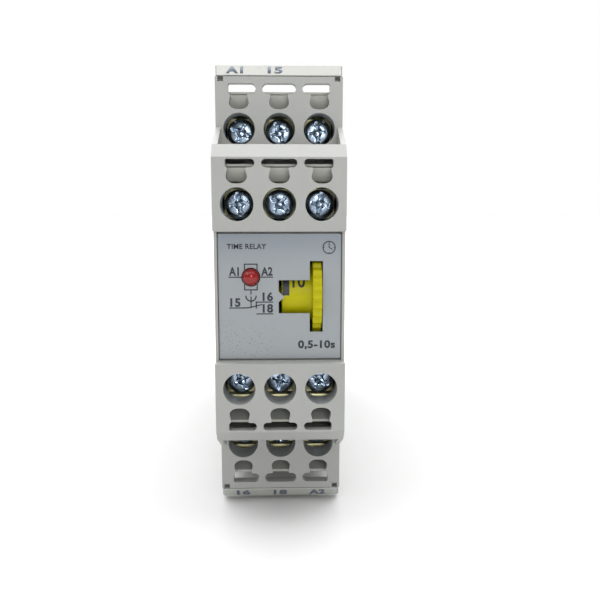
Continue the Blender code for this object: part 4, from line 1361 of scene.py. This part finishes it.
def stage():
    """The floor, the light and the camera."""
    group = settings("stage")
    bm = bmesh.new()
    bmesh.ops.create_grid(bm, x_segments=8, y_segments=8, size=3.0)
    floor = object_of("floor", bm)
    floor.data.materials.append(finish_for("floor"))
    studio_light()
    lens_data = bpy.data.cameras.new("camera")
    lens_data.sensor_width = 36.0
    lens_data.lens = group.lens
    lens_data.clip_start = 5 * MM
    camera = linked("camera", lens_data)
    camera.location = at(group.eye_side, -group.distance, group.eye_height)
    look = Matrix.Rotation(-group.turn, 4, "Z") @ Matrix.Rotation(math.pi / 2 - group.pitch, 4, "X")
    camera.rotation_euler = look.to_euler()
    bpy.context.scene.camera = camera


# ---------------------------------------------------------------- operators


class TIMER_OT_stage(bpy.types.Operator):
    """Make the floor, the lights and the camera"""

    bl_idname = "timer.stage"
    bl_label = "Stage"

    def execute(self, context):
        stage()
        return {"FINISHED"}


class TIMER_OT_front_shell(bpy.types.Operator):
    """Make the stepped front shell and the sleeves of its screw holes"""

    bl_idname = "timer.front_shell"
    bl_label = "Front shell"

    def execute(self, context):
        front_shell()
        hole_tunnels()
        wire_guides()
        return {"FINISHED"}


class TIMER_OT_rear_shell(bpy.types.Operator):
    """Make the rear housing with its vents and rail hook"""

    bl_idname = "timer.rear_shell"
    bl_label = "Rear shell"

    def execute(self, context):
        rear_shell()
        return {"FINISHED"}


class TIMER_OT_latch(bpy.types.Operator):
    """Make the rail latch and its spring"""

    bl_idname = "timer.latch"
    bl_label = "Rail latch"

    def execute(self, context):
        latch()
        latch_spring()
        return {"FINISHED"}


class TIMER_OT_marker_strips(bpy.types.Operator):
    """Make the marker strips and their numbers"""

    bl_idname = "timer.marker_strips"
    bl_label = "Marker strips"

    def execute(self, context):
        marker_strips()
        return {"FINISHED"}


class TIMER_OT_label(bpy.types.Operator):
    """Make the label plate and its printing"""

    bl_idname = "timer.label"
    bl_label = "Label"

    def execute(self, context):
        label_plate()
        label_printing()
        return {"FINISHED"}


class TIMER_OT_terminals(bpy.types.Operator):
    """Make the terminal screws and the clamp plates"""

    bl_idname = "timer.terminals"
    bl_label = "Terminals"

    def execute(self, context):
        screws()
        clamp_plates()
        return {"FINISHED"}


class TIMER_OT_time_wheel(bpy.types.Operator):
    """Make the time wheel and its scale"""

    bl_idname = "timer.time_wheel"
    bl_label = "Time wheel"

    def execute(self, context):
        time_wheel()
        return {"FINISHED"}


class TIMER_OT_lamp(bpy.types.Operator):
    """Make the status lamp"""

    bl_idname = "timer.lamp"
    bl_label = "Status lamp"

    def execute(self, context):
        lamp()
        return {"FINISHED"}


class TIMER_OT_inner_parts(bpy.types.Operator):
    """Finish the pieces behind the shells"""

    bl_idname = "timer.inner_parts"
    bl_label = "Inner parts"

    def execute(self, context):
        inner_parts()
        return {"FINISHED"}


GROUPS = {
    "shell": TIMER_PG_shell,
    "terminals": TIMER_PG_terminals,
    "label": TIMER_PG_label,
    "wheel": TIMER_PG_wheel,
    "stage": TIMER_PG_stage,
}
OPERATORS = (
    TIMER_OT_stage,
    TIMER_OT_front_shell,
    TIMER_OT_rear_shell,
    TIMER_OT_latch,
    TIMER_OT_marker_strips,
    TIMER_OT_label,
    TIMER_OT_terminals,
    TIMER_OT_time_wheel,
    TIMER_OT_lamp,
    TIMER_OT_inner_parts,
)


class TIMER_PT_sidebar(bpy.types.Panel):
    """Buttons and settings of the rail timer"""

    bl_idname = "TIMER_PT_sidebar"
    bl_label = "Rail Timer"
    bl_space_type = "VIEW_3D"
    bl_region_type = "UI"
    bl_category = "Rail Timer"

    def draw(self, context):
        for operator in OPERATORS:
            self.layout.operator(operator.bl_idname)
        for name, group in GROUPS.items():
            column = self.layout.box().column()
            column.label(text=name.capitalize())
            for field in group.__annotations__:
                column.prop(settings(name), field)


def register():
    for name, group in GROUPS.items():
        bpy.utils.register_class(group)
        setattr(bpy.types.Scene, "timer_" + name, bpy.props.PointerProperty(type=group))
    for operator in OPERATORS:
        bpy.utils.register_class(operator)
    bpy.utils.register_class(TIMER_PT_sidebar)


def unregister():
    bpy.utils.unregister_class(TIMER_PT_sidebar)
    for operator in reversed(OPERATORS):
        bpy.utils.unregister_class(operator)
    for name, group in GROUPS.items():
        delattr(bpy.types.Scene, "timer_" + name)
        bpy.utils.unregister_class(group)


def main():
    register()
    for operator in OPERATORS:
        group, name = operator.bl_idname.split(".")
        getattr(getattr(bpy.ops, group), name)()


if __name__ == "__main__":
    main()
